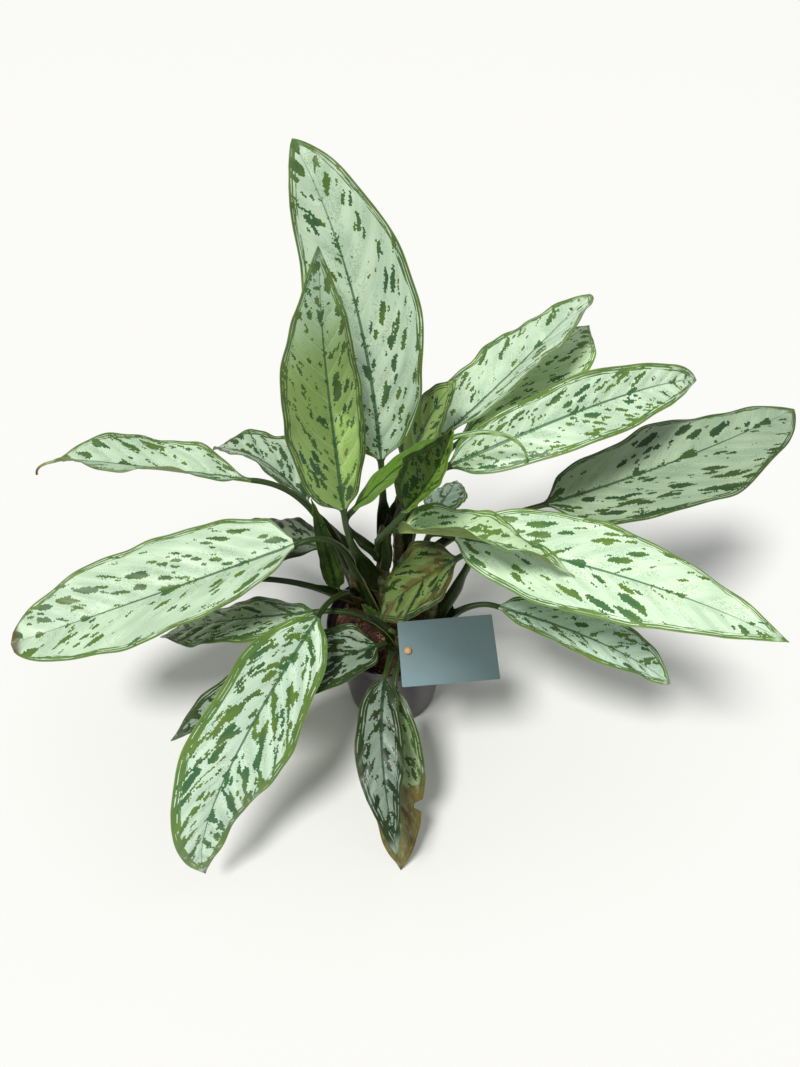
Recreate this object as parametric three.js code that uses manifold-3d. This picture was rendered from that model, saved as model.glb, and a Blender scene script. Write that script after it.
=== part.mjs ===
// A Chinese evergreen (Aglaonema) growing in a plain plastic nursery pot, with a blank
// label card pinned into its soil. Millimetres, +Z up, origin at the middle of the pot's
// flat underside, +Y away from the viewer. Every leaf is one closed solid made of its
// sheath, its stalk and its blade, and stands beside the cane that it grows from.
import * as THREE from "three";
import Module from "manifold-3d";
import { mergeVertices } from "three/addons/utils/BufferGeometryUtils.js";

const wasm = await Module();
wasm.setup();

// ---- Driving dimensions -------------------------------------------------------------
const GAP = 0.3; // clearance between neighbouring pieces

const POT_HEIGHT = 115;
const POT_RIM_RADIUS = 65; // outside of the rim band
const POT_NECK_RADIUS = 60; // wall just below the rim band
const POT_BASE_RADIUS = 46;
const POT_WALL = 1.4;
const POT_FLOOR = 2.4;
const RIM_BAND_HEIGHT = 10;
const POT_SIDES = 40;
const DRAIN_HOLES = 8;
const DRAIN_HOLE_RADIUS = 4;
const DRAIN_RING_RADIUS = 32;

const SOIL_TOP = 104; // mean level of the soil
const SOIL_BUMP = 2.5; // how far the surface of the soil rises and falls
const STEM_DEPTH = 30; // how deep the canes stand in the soil
const STEM_SIDES = 10;
const RING_SPACING = 20; // from one leaf scar round a cane to the next
const SCAR_DEPTH = 0.5; // how much thinner a cane is below each scar

const CARD_WIDTH = 85;
const CARD_HEIGHT = 59;
const CARD_THICKNESS = 0.8;
const CARD_CORNER = 1.5;
const CARD_CENTRE = [50, -73, 166];
const CARD_TILT = 70; // degrees that the card's face looks up
const CARD_TURN = -6; // degrees that it looks to the side
const CARD_SPIN = 10; // degrees that it is turned in its own plane
const PEG_ON_CARD = [-35, 2]; // where the peg goes through the card, from its centre
const PEG_RADIUS = 1.5;
const PEG_HOLE_RADIUS = 2;
const PEG_KNOB_RADIUS = 3.4;
const PEG_DEPTH = 22; // how deep the peg stands in the soil

const BLADE_THICKNESS = 1.0;
const BLADE_ROWS = 16; // steps along a blade
const STALK_STEPS = [0, 0.05, 0.16, 0.32, 0.5, 0.68, 0.86]; // rows along sheath and stalk
const ACROSS = [-1, -0.5, 0, 0.5, 1]; // section points from the right edge to the left
const STALK_TOP_RADIUS = 2.7; // stalk where the blade begins
const SHEATH_TOP = 0.15; // share of the way up at which the sheath starts to thin
const STALK_SLIM = 0.85; // share of the way up from which the stalk keeps its top radius
const TIP_HALF_WIDTH = 0.9; // a tip or a tail is never narrower than this
const BLEND_LENGTH = 0.09; // share of the blade over which the round stalk flattens
const BASE_FOLD = 20; // extra fold of the blade where it leaves the stalk, in degrees

// ---- Canes: where each leaves the soil, where its top is, and how thick it is ---------
const stems = {
  stem_left: { foot: [-34, 32], top: [-40, 36, 184], radius: 6 },
  stem_middle: { foot: [-8, 20], top: [-8, 18, 232], radius: 6.5 },
  stem_back: { foot: [6, 44], top: [8, 48, 236], radius: 6 },
  stem_right: { foot: [36, -4], top: [42, -2, 176], radius: 6 },
  stem_front: { foot: [8, -24], top: [6, -28, 128], radius: 6.5 },
};

// ---- Leaves ----------------------------------------------------------------------------
// base: where the blade begins. heading, rise: compass direction (0 is +X, 90 is +Y) and
// slope of the midrib there. droop, sweep: how much slope and direction change by the tip.
// roll, twist: how far the blade is turned about its midrib at the base, and by the tip.
// fold: slope of each half of the blade. curl: how far the margins bend back down, in half
// widths. peak: where the blade is widest. tip: below 1 a blunt tip, above 1 a long one.
// lean: how much wider the left half is. wave, waves, phase: height, number and start of
// the ripples of the margin. tail: share of the length that is only a thin tail. bend: above
// 1 the midrib bends more towards its tip.
// footHeight: where the sheath leaves the cane. footTurn: degrees that it is moved round the
// cane from the side that faces the blade. footRadius: how thick it is there. spread: how
// far it leans out as it leaves.
// leave, arrive: how long the stalk keeps its first and its last direction.
const leafDefaults = {
  droop: 0, sweep: 0, roll: 0, twist: 0, fold: 12, curl: 0.1, peak: 0.42, tip: 0.95, lean: 0,
  wave: 2.5, waves: 2.5, phase: 0, bend: 1.4, tail: 0,
  footTurn: 0, footRadius: 4.4, spread: 0.25, leave: 0.45, arrive: 0.35,
};

const leaves = [
  {
    name: "leaf_back_tall", stem: "stem_middle", footHeight: 200, base: [-8, 24, 296],
    heading: 115, rise: 82, droop: 34, sweep: 22, length: 258, width: 86,
    roll: -7, twist: -32, fold: 14, curl: 0.05, peak: 0.47, tip: 0.78, lean: -0.1,
  },
  {
    name: "leaf_upright_young", stem: "stem_middle", footHeight: 158, base: [-39, -9, 269],
    heading: 109, rise: 77, droop: -21, sweep: 16, length: 228, width: 70,
    roll: 2, twist: 6, fold: 14, curl: 0.09, peak: 0.43, tip: 0.88, lean: 0.2, footRadius: 5.2,
  },
  {
    name: "leaf_left_upper", stem: "stem_left", footHeight: 160, base: [-124, 60, 247],
    heading: -178, rise: 12, droop: 100, sweep: 3, length: 206, width: 75,
    roll: 14, fold: 32, curl: 0.02, bend: 12, peak: 0.55, tip: 1, tail: 0.12,
    lean: -0.08, wave: 5, waves: 2.3, phase: 2.2,
  },
  {
    name: "leaf_left_upper_back", stem: "stem_left", footHeight: 146, base: [-85, 93, 186],
    heading: 143, rise: 43, droop: 72, sweep: 16, length: 128, width: 79,
    roll: 19, twist: -6, fold: 36, curl: 0.02, lean: -0.06, footTurn: -30,
  },
  {
    name: "leaf_left_big", stem: "stem_middle", footHeight: 112, base: [-80, 6, 221],
    heading: -165, rise: -13, droop: -5, sweep: 3, length: 270, width: 106,
    twist: -17, fold: 19, curl: 0.04, peak: 0.46, tip: 0.5, lean: -0.03, footRadius: 5.2,
  },
  {
    name: "leaf_left_behind", stem: "stem_left", footHeight: 124, base: [-69, 51, 166],
    heading: 155, rise: -2, droop: 33, sweep: -10, length: 138, width: 67,
    twist: 6, fold: 3, curl: 0.16, footTurn: -30, spread: 0.5,
  },
  {
    name: "leaf_left_low", stem: "stem_front", footHeight: 114, base: [-69, -18, 152],
    heading: -174, rise: -2, droop: 40, sweep: -22, length: 179, width: 63,
    roll: 8, twist: 6, fold: 6, peak: 0.44, tip: 1.05, lean: 0.06, footTurn: -12, footRadius: 3.8,
  },
  {
    name: "leaf_front_left_hanging", stem: "stem_left", footHeight: 112, base: [-64, -35, 172],
    heading: -109, rise: 7, droop: 100, sweep: -25, length: 285, width: 90,
    roll: -30, twist: -48, fold: 12, curl: 0.14, peak: 0.45, tip: 1.06, footTurn: 36,
  },
  {
    name: "leaf_front_left_low", stem: "stem_front", footHeight: 111, base: [-11, -38, 126],
    heading: -148, rise: 17, droop: 65, sweep: -19, length: 222, width: 67,
    roll: -4, twist: 5, fold: 16, curl: 0.07, peak: 0.3, tip: 0.87, lean: -0.06, footTurn: -6,
    footRadius: 3.8,
  },
  {
    name: "leaf_front_small", stem: "stem_front", footHeight: 114, base: [-5, -72, 127],
    heading: -98, rise: 0, droop: 55, sweep: 27, length: 163, width: 43,
    roll: -5, twist: -8, fold: 11, curl: 0.12, peak: 0.4, tip: 1.13, lean: -0.1, footTurn: 0,
    footRadius: 3.8,
  },
  {
    name: "leaf_front_old", stem: "stem_front", footHeight: 109, base: [3, -76, 119],
    heading: -89, rise: -23, droop: 50, sweep: 4, length: 176, width: 50,
    fold: 10, peak: 0.46, footTurn: 40, footRadius: 3.8,
  },
  {
    name: "leaf_right_low", stem: "stem_right", footHeight: 112, base: [98, -11, 152],
    heading: -31, rise: 11, droop: 50, sweep: 16, length: 180, width: 58,
    roll: 2, twist: 1, fold: 17, curl: 0, peak: 0.5, tip: 0.8, lean: 0.16, footTurn: -30,
  },
  {
    name: "leaf_right_big", stem: "stem_right", footHeight: 152, base: [50, -1, 237],
    heading: -23, rise: 8, droop: 25, sweep: 2, length: 290, width: 94,
    roll: 17, twist: -10, fold: 11, curl: 0.12, peak: 0.4, tip: 1, footTurn: 90, spread: 0.5,
    leave: 0.6,
  },
  {
    name: "leaf_right_twisted", stem: "stem_middle", footHeight: 182, base: [4, -21, 263],
    heading: -23, rise: 19, droop: 58, sweep: 16, length: 160, width: 62,
    roll: -24, twist: 9, fold: 38, curl: 0.02, peak: 0.32, tip: 1.35, wave: 4, waves: 2.8,
    phase: -0.8, footTurn: 12, footRadius: 3.4, arrive: 0.22,
  },
  {
    name: "leaf_right_upper", stem: "stem_back", footHeight: 200, base: [43, 60, 295],
    heading: 34, rise: 26, droop: 22, sweep: 21, length: 218, width: 86,
    roll: -15, twist: -11, fold: 25, curl: 0.01, peak: 0.36, tip: 0.67, footTurn: 22, spread: 0.1,
  },
  {
    name: "leaf_right_upper_back", stem: "stem_back", footHeight: 184, base: [54, 77, 270],
    heading: 39, rise: 27, droop: 33, sweep: 10, length: 210, width: 74,
    roll: -7, twist: 5, fold: 6, curl: 0.19, peak: 0.6, tip: 1.1, lean: -0.19, footTurn: 66,
  },
  {
    name: "leaf_right_middle", stem: "stem_back", footHeight: 170, base: [46, 30, 287],
    heading: 3, rise: 28, droop: 53, sweep: 37, length: 270, width: 62,
    roll: 35, twist: 24, fold: 26, curl: 0.03, tip: 0.8, lean: -0.03, footTurn: -15,
  },
  {
    name: "leaf_right_far", stem: "stem_back", footHeight: 130, base: [141, 55, 220],
    heading: 5, rise: 17, droop: 14, sweep: 26, length: 272, width: 108,
    roll: 8, twist: -7, fold: 16, curl: 0.1, peak: 0.44, tip: 0.8, lean: -0.15, footTurn: 8,
    footRadius: 3.6, spread: 0.7,
  },
  {
    name: "leaf_young_shaded", stem: "stem_middle", footHeight: 214, base: [15, 45, 272],
    heading: 19, rise: 76, droop: 28, length: 97, width: 50,
    roll: 8, twist: 9, fold: 21, curl: 0.08, wave: 1, footRadius: 3.4,
  },
  {
    name: "leaf_young_rolled", stem: "stem_middle", footHeight: 196, base: [-34, -3, 266],
    heading: 7, rise: 50, droop: 134, sweep: 0, length: 196, width: 37,
    roll: -8, fold: 16, curl: 0.13, bend: 2.6, peak: 0.44, tip: 1.06, tail: 0.42, wave: 0.5,
    footRadius: 3.4,
  },
  {
    name: "leaf_young_dark", stem: "stem_middle", footHeight: 203, base: [12, -32, 294],
    heading: 3, rise: 56, droop: -24, sweep: 18, length: 88, width: 54,
    roll: 9, twist: 15, fold: 48, curl: 0.02, peak: 0.36, tip: 1.2, wave: 1, footTurn: -38,
    footRadius: 3, leave: 0.3, arrive: 0.55,
  },
  {
    name: "leaf_right_inner", stem: "stem_back", footHeight: 150, base: [40, 65, 202],
    heading: 62, rise: -10, droop: 5, sweep: 10, length: 72, width: 42,
    roll: -5, twist: -6, fold: 7, curl: 0.13, wave: 1, footTurn: 50,
  },
  {
    name: "leaf_centre_arching", stem: "stem_right", footHeight: 128, base: [59, -18, 226],
    heading: -178, rise: -39, droop: 26, sweep: -5, length: 111, width: 69,
    roll: -23, twist: 14, fold: 12, curl: 0.1, peak: 0.44, tip: 0.83, lean: -0.08, wave: 1.5,
    footTurn: 40, footRadius: 4.2,
  },
  {
    name: "leaf_left_hidden", stem: "stem_left", footHeight: 112, base: [-125, 1, 177],
    heading: 169, rise: -11, droop: 36, sweep: -15, length: 128, width: 58,
    fold: 8, footTurn: 32, footRadius: 3.6, spread: 0.6,
  },
  {
    name: "sheath_left", stem: "stem_left", footHeight: 113, base: [-54, 21, 140],
    heading: 153, rise: 81, droop: 1, sweep: 5, length: 114, width: 21,
    roll: -62, twist: 10, fold: 14, curl: 0.04, peak: 0.2, tip: 0.9, wave: 0, footTurn: -28,
    footRadius: 3.8,
  },
  {
    name: "sheath_front", stem: "stem_front", footHeight: 109, base: [-2, -16, 122],
    heading: 138, rise: 10, sweep: -4, length: 40, width: 13,
    fold: 20, wave: 0, footTurn: -34, footRadius: 3,
  },
];

// ---- Colours and finishes ----------------------------------------------------------------
const finish = (color, roughness) =>
  new THREE.MeshStandardMaterial({ color, roughness, metalness: 0 });
const bladeFinish = () => finish(0xbcd6b8, 0.45);
const youngBladeFinish = () => finish(0x94ad48, 0.45);
const caneFinish = () => finish(0x4a5a26, 0.5);
const potFinish = () => finish(0x2b222b, 0.4);
const soilFinish = () => finish(0x3a2119, 0.95);
const cardFinish = () => finish(0x6f949f, 0.5);
const woodFinish = () => finish(0xbf9468, 0.7);

// ---- Small tools -----------------------------------------------------------------------
const radians = THREE.MathUtils.degToRad;
const lerp = THREE.MathUtils.lerp;
const smoothstep = THREE.MathUtils.smoothstep;

/** A seeded number from 0 to 1 for a whole number, alike on every run. */
function hash(n) {
  const x = Math.sin(n * 12.9898 + 4.1414) * 43758.5453;
  return x - Math.floor(x);
}

/** Merge a geometry's shared corners and drop triangles that have collapsed. */
function welded(geometry) {
  const bare = geometry.clone();
  bare.deleteAttribute("normal");
  bare.deleteAttribute("uv");
  const merged = mergeVertices(bare, 1e-4);
  const index = Array.from(merged.index.array);
  const kept = [];
  for (let i = 0; i < index.length; i += 3) {
    const [a, b, c] = [index[i], index[i + 1], index[i + 2]];
    if (a !== b && b !== c && c !== a) kept.push(a, b, c);
  }
  merged.setIndex(kept);
  return merged;
}

function toManifold(geometry) {
  const merged = welded(geometry);
  return new wasm.Manifold(new wasm.Mesh({
    numProp: 3,
    vertProperties: new Float32Array(merged.attributes.position.array),
    triVerts: new Uint32Array(merged.index.array),
  }));
}

function fromManifold(solid) {
  const mesh = solid.getMesh();
  const geometry = new THREE.BufferGeometry();
  geometry.setAttribute("position", new THREE.BufferAttribute(mesh.vertProperties, 3));
  geometry.setIndex(new THREE.BufferAttribute(mesh.triVerts, 1));
  return geometry;
}

function closedBody(points, triangles) {
  const geometry = new THREE.BufferGeometry();
  geometry.setAttribute("position", new THREE.Float32BufferAttribute(points.flat(), 3));
  geometry.setIndex(triangles);
  return geometry;
}

/** A mesh with flat shading normals, ready for the model. */
function piece(name, geometry, material) {
  geometry.computeVertexNormals();
  const mesh = new THREE.Mesh(geometry, material);
  mesh.name = name;
  return mesh;
}

// ---- Leaf --------------------------------------------------------------------------------

/** Half width of a blade as a share of its widest, at u from base (0) to tip (1). */
function bladeProfile(leaf, u) {
  const v = Math.min(1, u / (1 - leaf.tail));
  const rise = (leaf.tip * leaf.peak) / (1 - leaf.peak);
  return Math.pow(v / leaf.peak, rise) * Math.pow((1 - v) / (1 - leaf.peak), leaf.tip);
}

/** Direction of the midrib at u, with the sideways and upward directions of the blade. */
function bladeFrame(leaf, u) {
  const compass = radians(leaf.heading + leaf.sweep * u);
  const slope = radians(leaf.rise - leaf.droop * Math.pow(u, leaf.bend));
  const along = new THREE.Vector3(
    Math.cos(slope) * Math.cos(compass), Math.cos(slope) * Math.sin(compass), Math.sin(slope));
  const level = new THREE.Vector3(-Math.sin(compass), Math.cos(compass), 0);
  const upright = along.clone().cross(level);
  const turn = radians(leaf.roll + leaf.twist * u);
  const left = level.clone().multiplyScalar(Math.cos(turn))
    .addScaledVector(upright, Math.sin(turn));
  const up = upright.clone().multiplyScalar(Math.cos(turn))
    .addScaledVector(level, -Math.sin(turn));
  return { along, left, up };
}

/** Section rows along the blade, each with its centre and its frame. */
function bladeRows(leaf) {
  const rows = [];
  const fineSteps = 4;
  const centre = new THREE.Vector3(...leaf.base);
  for (let row = 0; row <= BLADE_ROWS; row++) {
    const u = row / BLADE_ROWS;
    if (row > 0) {
      const step = leaf.length / BLADE_ROWS / fineSteps;
      for (let k = 0; k < fineSteps; k++) {
        const middle = (row - 1 + (k + 0.5) / fineSteps) / BLADE_ROWS;
        centre.addScaledVector(bladeFrame(leaf, middle).along, step);
      }
    }
    rows.push({ u, centre: centre.clone(), ...bladeFrame(leaf, u) });
  }
  return rows;
}

/** A point of a blade's section, in its frame: how far to the left, and how far up. */
function bladePoint(leaf, u, across) {
  const half = Math.max(TIP_HALF_WIDTH, (leaf.width / 2) * bladeProfile(leaf, u));
  const side = 1 + leaf.lean * Math.sign(across);
  const fold = radians(leaf.fold * (1 - 0.45 * u) + BASE_FOLD * Math.exp(-u / 0.07));
  const reach = half * side * Math.abs(across);
  const fullness = Math.min(1, half / (0.3 * leaf.width / 2));
  const shift = across < 0 ? 1.9 : 0;
  const ripple = leaf.wave * fullness * across * across
    * Math.sin(2 * Math.PI * leaf.waves * u + leaf.phase + shift);
  const lift = reach * Math.sin(fold) - leaf.curl * half * side * across * across;
  return [Math.sign(across) * reach * Math.cos(fold), lift + ripple];
}

/** Top and bottom points of a blade's section; the midrib stands out below. */
function bladeSection(leaf, u) {
  const top = ACROSS.map((across) => bladePoint(leaf, u, across));
  const ridge = lerp(STALK_TOP_RADIUS, 0.3, Math.sqrt(u));
  const bottom = top.map(([a, b], i) => {
    const before = top[Math.max(i - 1, 0)];
    const after = top[Math.min(i + 1, top.length - 1)];
    const length = Math.hypot(after[0] - before[0], after[1] - before[1]) || 1;
    const normal = [-(after[1] - before[1]) / length, (after[0] - before[0]) / length];
    const depth = BLADE_THICKNESS + (ACROSS[i] === 0 ? ridge : 0);
    return [a - normal[0] * depth, b - normal[1] * depth];
  });
  return { top, bottom };
}

/** Top and bottom points of a round section. */
function roundSection(radius) {
  const last = ACROSS.length - 1;
  const edge = 0.12; // the two edge points stay this far apart, as an angle
  const angle = (i) => lerp(Math.PI - edge, edge, i / last);
  const top = ACROSS.map((_, i) => [radius * Math.cos(angle(i)), radius * Math.sin(angle(i))]);
  const bottom = top.map(([a, b]) => [a, -b]);
  return { top, bottom };
}

/** Points of a leaf's section at u, where the round stalk turns into the flat blade. */
function leafSection(leaf, u) {
  const round = roundSection(STALK_TOP_RADIUS);
  const flat = bladeSection(leaf, u);
  const share = smoothstep(u, 0, BLEND_LENGTH);
  const mix = (from, to) => from.map(([a, b], i) => [
    lerp(a, to[i][0], share), lerp(b, to[i][1], share)]);
  return { top: mix(round.top, flat.top), bottom: mix(round.bottom, flat.bottom) };
}

function stemPoint(stem, height) {
  const t = (height - SOIL_TOP) / (stem.top[2] - SOIL_TOP);
  return new THREE.Vector3(
    lerp(stem.foot[0], stem.top[0], t), lerp(stem.foot[1], stem.top[1], t), height);
}

/** Heights and radii of the rings that old leaves left on a cane, and of its blunt top. */
function stemRings(stem) {
  const rings = [];
  const bottom = SOIL_TOP - STEM_DEPTH;
  for (let height = bottom; height < stem.top[2] - RING_SPACING; height += RING_SPACING) {
    rings.push({ height, radius: stem.radius });
    rings.push({ height: height + 0.7 * RING_SPACING, radius: stem.radius - SCAR_DEPTH });
  }
  rings.push({ height: stem.top[2] - 6, radius: stem.radius - SCAR_DEPTH });
  rings.push({ height: stem.top[2], radius: 0.45 * stem.radius });
  return rings;
}

/** How far a cane's faceted surface is from its middle, at a height and in a direction. */
function stemReach(stem, height, direction) {
  const rings = stemRings(stem);
  const above = rings.findIndex((ring) => ring.height > height);
  const [lower, upper] = [rings[above - 1], rings[above]];
  const share = (height - lower.height) / (upper.height - lower.height);
  const facet = (2 * Math.PI) / STEM_SIDES;
  const fromFacetMiddle = THREE.MathUtils.euclideanModulo(direction, facet) - facet / 2;
  return lerp(lower.radius, upper.radius, share) * Math.cos(facet / 2)
    / Math.cos(fromFacetMiddle);
}

/** The stalk's middle line, from beside the cane to the start of the blade. */
function stalkCurve(leaf) {
  const stem = stems[leaf.stem];
  const axis = stemPoint(stem, leaf.footHeight);
  const end = new THREE.Vector3(...leaf.base);
  const facing = Math.atan2(end.y - axis.y, end.x - axis.x) + radians(leaf.footTurn);
  const out = new THREE.Vector3(Math.cos(facing), Math.sin(facing), 0);
  const footReach = leaf.footRadius * Math.cos(Math.atan(leaf.spread));
  const start = axis.clone().addScaledVector(
    out, stemReach(stem, leaf.footHeight, facing) + GAP + footReach);
  const upAndOut = new THREE.Vector3(0, 0, 1).addScaledVector(out, leaf.spread).normalize();
  const span = start.distanceTo(end);
  return new THREE.CubicBezierCurve3(
    start,
    start.clone().addScaledVector(upAndOut, leaf.leave * span),
    end.clone().addScaledVector(bladeFrame(leaf, 0).along, -leaf.arrive * span),
    end);
}

/** Section rows along the sheath and the stalk, their frames carried back from the blade. */
function stalkRows(leaf) {
  const curve = stalkCurve(leaf);
  const { along, left, up } = bladeFrame(leaf, 0);
  const frame = { along: along.clone(), left: left.clone(), up: up.clone() };
  const rows = [];
  for (const t of STALK_STEPS.toReversed()) {
    const tangent = curve.getTangent(t);
    const turn = new THREE.Quaternion().setFromUnitVectors(frame.along, tangent);
    frame.along = tangent;
    frame.left.applyQuaternion(turn);
    frame.up.applyQuaternion(turn);
    const radius = lerp(leaf.footRadius, STALK_TOP_RADIUS, smoothstep(t, SHEATH_TOP, STALK_SLIM));
    rows.unshift({
      centre: curve.getPoint(t), left: frame.left.clone(), up: frame.up.clone(),
      section: roundSection(radius),
    });
  }
  return rows;
}

/** One closed skin over section rows; both faces are split into triangles alike. */
function leafGeometry(leaf) {
  const blade = bladeRows(leaf).map((row) => ({ ...row, section: leafSection(leaf, row.u) }));
  const rows = [...stalkRows(leaf), ...blade];
  const count = ACROSS.length;
  const points = [];
  for (const { centre, left, up, section } of rows) {
    for (const [a, b] of [...section.top, ...section.bottom]) {
      points.push(centre.clone().addScaledVector(left, a).addScaledVector(up, b).toArray());
    }
  }
  const top = (row, k) => row * 2 * count + k;
  const bottom = (row, k) => row * 2 * count + count + k;
  const triangles = [];
  const quad = (a, b, c, d) => triangles.push(a, b, c, a, c, d);
  const last = rows.length - 1;
  for (let row = 0; row < last; row++) {
    for (let k = 0; k < count - 1; k++) {
      quad(top(row, k), top(row + 1, k), top(row + 1, k + 1), top(row, k + 1));
      triangles.push(bottom(row, k), bottom(row + 1, k + 1), bottom(row + 1, k));
      triangles.push(bottom(row, k), bottom(row, k + 1), bottom(row + 1, k + 1));
    }
    quad(bottom(row, 0), bottom(row + 1, 0), top(row + 1, 0), top(row, 0));
    const edge = count - 1;
    quad(top(row, edge), top(row + 1, edge), bottom(row + 1, edge), bottom(row, edge));
  }
  for (let k = 0; k < count - 1; k++) {
    quad(top(0, k), top(0, k + 1), bottom(0, k + 1), bottom(0, k));
    quad(top(last, k + 1), top(last, k), bottom(last, k), bottom(last, k + 1));
  }
  return closedBody(points, triangles);
}

// ---- Canes -------------------------------------------------------------------------------

/** A closed round bar through rings of points, each ring a centre and a radius. */
function ringedBar(rings, sides) {
  const points = [];
  for (const { centre, radius } of rings) {
    for (let k = 0; k < sides; k++) {
      const angle = (2 * Math.PI * k) / sides;
      const [x, y] = [radius * Math.cos(angle), radius * Math.sin(angle)];
      points.push([centre.x + x, centre.y + y, centre.z]);
    }
  }
  const triangles = [];
  const at = (ring, k) => ring * sides + (k % sides);
  for (let ring = 0; ring < rings.length - 1; ring++) {
    for (let k = 0; k < sides; k++) {
      triangles.push(at(ring, k), at(ring, k + 1), at(ring + 1, k + 1));
      triangles.push(at(ring, k), at(ring + 1, k + 1), at(ring + 1, k));
    }
  }
  const last = rings.length - 1;
  for (let k = 1; k < sides - 1; k++) {
    triangles.push(at(0, 0), at(0, k + 1), at(0, k));
    triangles.push(at(last, 0), at(last, k), at(last, k + 1));
  }
  return closedBody(points, triangles);
}

/** A cane with the rings that old leaves left on it, tapering to a blunt top. */
function stemGeometry(stem) {
  const rings = stemRings(stem).map(({ height, radius }) => ({
    centre: stemPoint(stem, height), radius,
  }));
  return ringedBar(rings, STEM_SIDES);
}

/** A plain round hole for a cane in the soil. */
function stemHole(stem) {
  const below = stemPoint(stem, SOIL_TOP - STEM_DEPTH - GAP);
  const above = stemPoint(stem, SOIL_TOP + 3 * SOIL_BUMP);
  const radius = stem.radius + 1.2 * GAP;
  return ringedBar([{ centre: below, radius }, { centre: above, radius }], STEM_SIDES);
}

// ---- Pot and soil --------------------------------------------------------------------------

function lathe(profile) {
  const outline = profile.map(([radius, height]) => new THREE.Vector2(radius, height));
  return new THREE.LatheGeometry(outline, POT_SIDES).rotateX(Math.PI / 2);
}

const RIM_BOTTOM = POT_HEIGHT - RIM_BAND_HEIGHT;
const INNER_RIM_RADIUS = POT_RIM_RADIUS - 1.6;
const INNER_NECK_RADIUS = POT_NECK_RADIUS - POT_WALL;
const INNER_BASE_RADIUS = POT_BASE_RADIUS - POT_WALL;

/** A tapered shell with a wider band round its rim and drain holes in its flat floor. */
function potGeometry() {
  const edge = 1;
  const shell = lathe([
    [0, 0],
    [POT_BASE_RADIUS - 2 * edge, 0],
    [POT_BASE_RADIUS, 2 * edge],
    [POT_NECK_RADIUS, RIM_BOTTOM],
    [POT_RIM_RADIUS - edge, RIM_BOTTOM],
    [POT_RIM_RADIUS, RIM_BOTTOM + edge],
    [POT_RIM_RADIUS, POT_HEIGHT - edge],
    [POT_RIM_RADIUS - edge / 2, POT_HEIGHT],
    [INNER_RIM_RADIUS, POT_HEIGHT],
    [INNER_RIM_RADIUS - edge / 2, RIM_BOTTOM + POT_WALL + edge],
    [INNER_NECK_RADIUS, RIM_BOTTOM - edge],
    [INNER_BASE_RADIUS, POT_FLOOR + edge],
    [INNER_BASE_RADIUS - edge, POT_FLOOR],
    [0, POT_FLOOR],
  ]);
  let solid = toManifold(shell);
  for (let k = 0; k < DRAIN_HOLES; k++) {
    const angle = (2 * Math.PI * k) / DRAIN_HOLES;
    const drill = new THREE.CylinderGeometry(
      DRAIN_HOLE_RADIUS, DRAIN_HOLE_RADIUS, 4 * POT_FLOOR, 12).rotateX(Math.PI / 2);
    drill.translate(
      DRAIN_RING_RADIUS * Math.cos(angle), DRAIN_RING_RADIUS * Math.sin(angle), POT_FLOOR / 2);
    solid = solid.subtract(toManifold(drill));
  }
  return fromManifold(solid);
}

/** Soil that fills the pot, with an uneven top and plain holes for the canes and the peg. */
function soilGeometry() {
  const bottom = POT_FLOOR + GAP;
  const taper = (INNER_NECK_RADIUS - INNER_BASE_RADIUS) / (RIM_BOTTOM - POT_FLOOR);
  const radiusAt = (height) => INNER_BASE_RADIUS + taper * (height - POT_FLOOR) - GAP - 0.3;
  const shoulder = SOIL_TOP - SOIL_BUMP - 3;
  const surface = [0.86, 0.68, 0.48, 0.26].map((share) => [
    share * radiusAt(shoulder), SOIL_TOP]);
  const body = welded(lathe([
    [0, bottom], [radiusAt(bottom) - 1, bottom], [radiusAt(shoulder), shoulder],
    ...surface, [0, SOIL_TOP],
  ]));
  const position = body.attributes.position;
  for (let i = 0; i < position.count; i++) {
    if (position.getZ(i) > SOIL_TOP - 0.1) {
      position.setZ(i, SOIL_TOP + SOIL_BUMP * (2 * hash(i) - 1));
    }
  }
  let solid = toManifold(body);
  for (const stem of Object.values(stems)) solid = solid.subtract(toManifold(stemHole(stem)));
  solid = solid.subtract(toManifold(pegBar(PEG_RADIUS + GAP, GAP, 0)));
  return fromManifold(solid);
}

// ---- Label card and its peg ------------------------------------------------------------------

/** The card's own frame: x along its width, y up its height, z out of its face. */
function cardFrame() {
  const face = new THREE.Vector3(
    Math.sin(radians(CARD_TURN)) * Math.cos(radians(CARD_TILT)),
    -Math.cos(radians(CARD_TURN)) * Math.cos(radians(CARD_TILT)),
    Math.sin(radians(CARD_TILT)));
  const level = new THREE.Vector3(
    Math.cos(radians(CARD_TURN)), Math.sin(radians(CARD_TURN)), 0);
  const matrix = new THREE.Matrix4().makeBasis(level, face.clone().cross(level), face);
  matrix.multiply(new THREE.Matrix4().makeRotationZ(radians(CARD_SPIN)));
  return matrix.setPosition(...CARD_CENTRE);
}

/** A blank card with rounded corners and a hole for the peg. */
function cardGeometry() {
  const [w, h, r] = [CARD_WIDTH / 2, CARD_HEIGHT / 2, CARD_CORNER];
  const outline = new THREE.Shape();
  outline.absarc(w - r, h - r, r, 0, Math.PI / 2);
  outline.absarc(-w + r, h - r, r, Math.PI / 2, Math.PI);
  outline.absarc(-w + r, -h + r, r, Math.PI, 1.5 * Math.PI);
  outline.absarc(w - r, -h + r, r, 1.5 * Math.PI, 2 * Math.PI);
  const hole = new THREE.Path().absarc(...PEG_ON_CARD, PEG_HOLE_RADIUS, 0, 2 * Math.PI, true);
  outline.holes.push(hole);
  const sheet = new THREE.ExtrudeGeometry(outline, {
    depth: CARD_THICKNESS, bevelEnabled: false, curveSegments: 3,
  });
  return welded(sheet.translate(0, 0, -CARD_THICKNESS / 2)).applyMatrix4(cardFrame());
}

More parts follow.
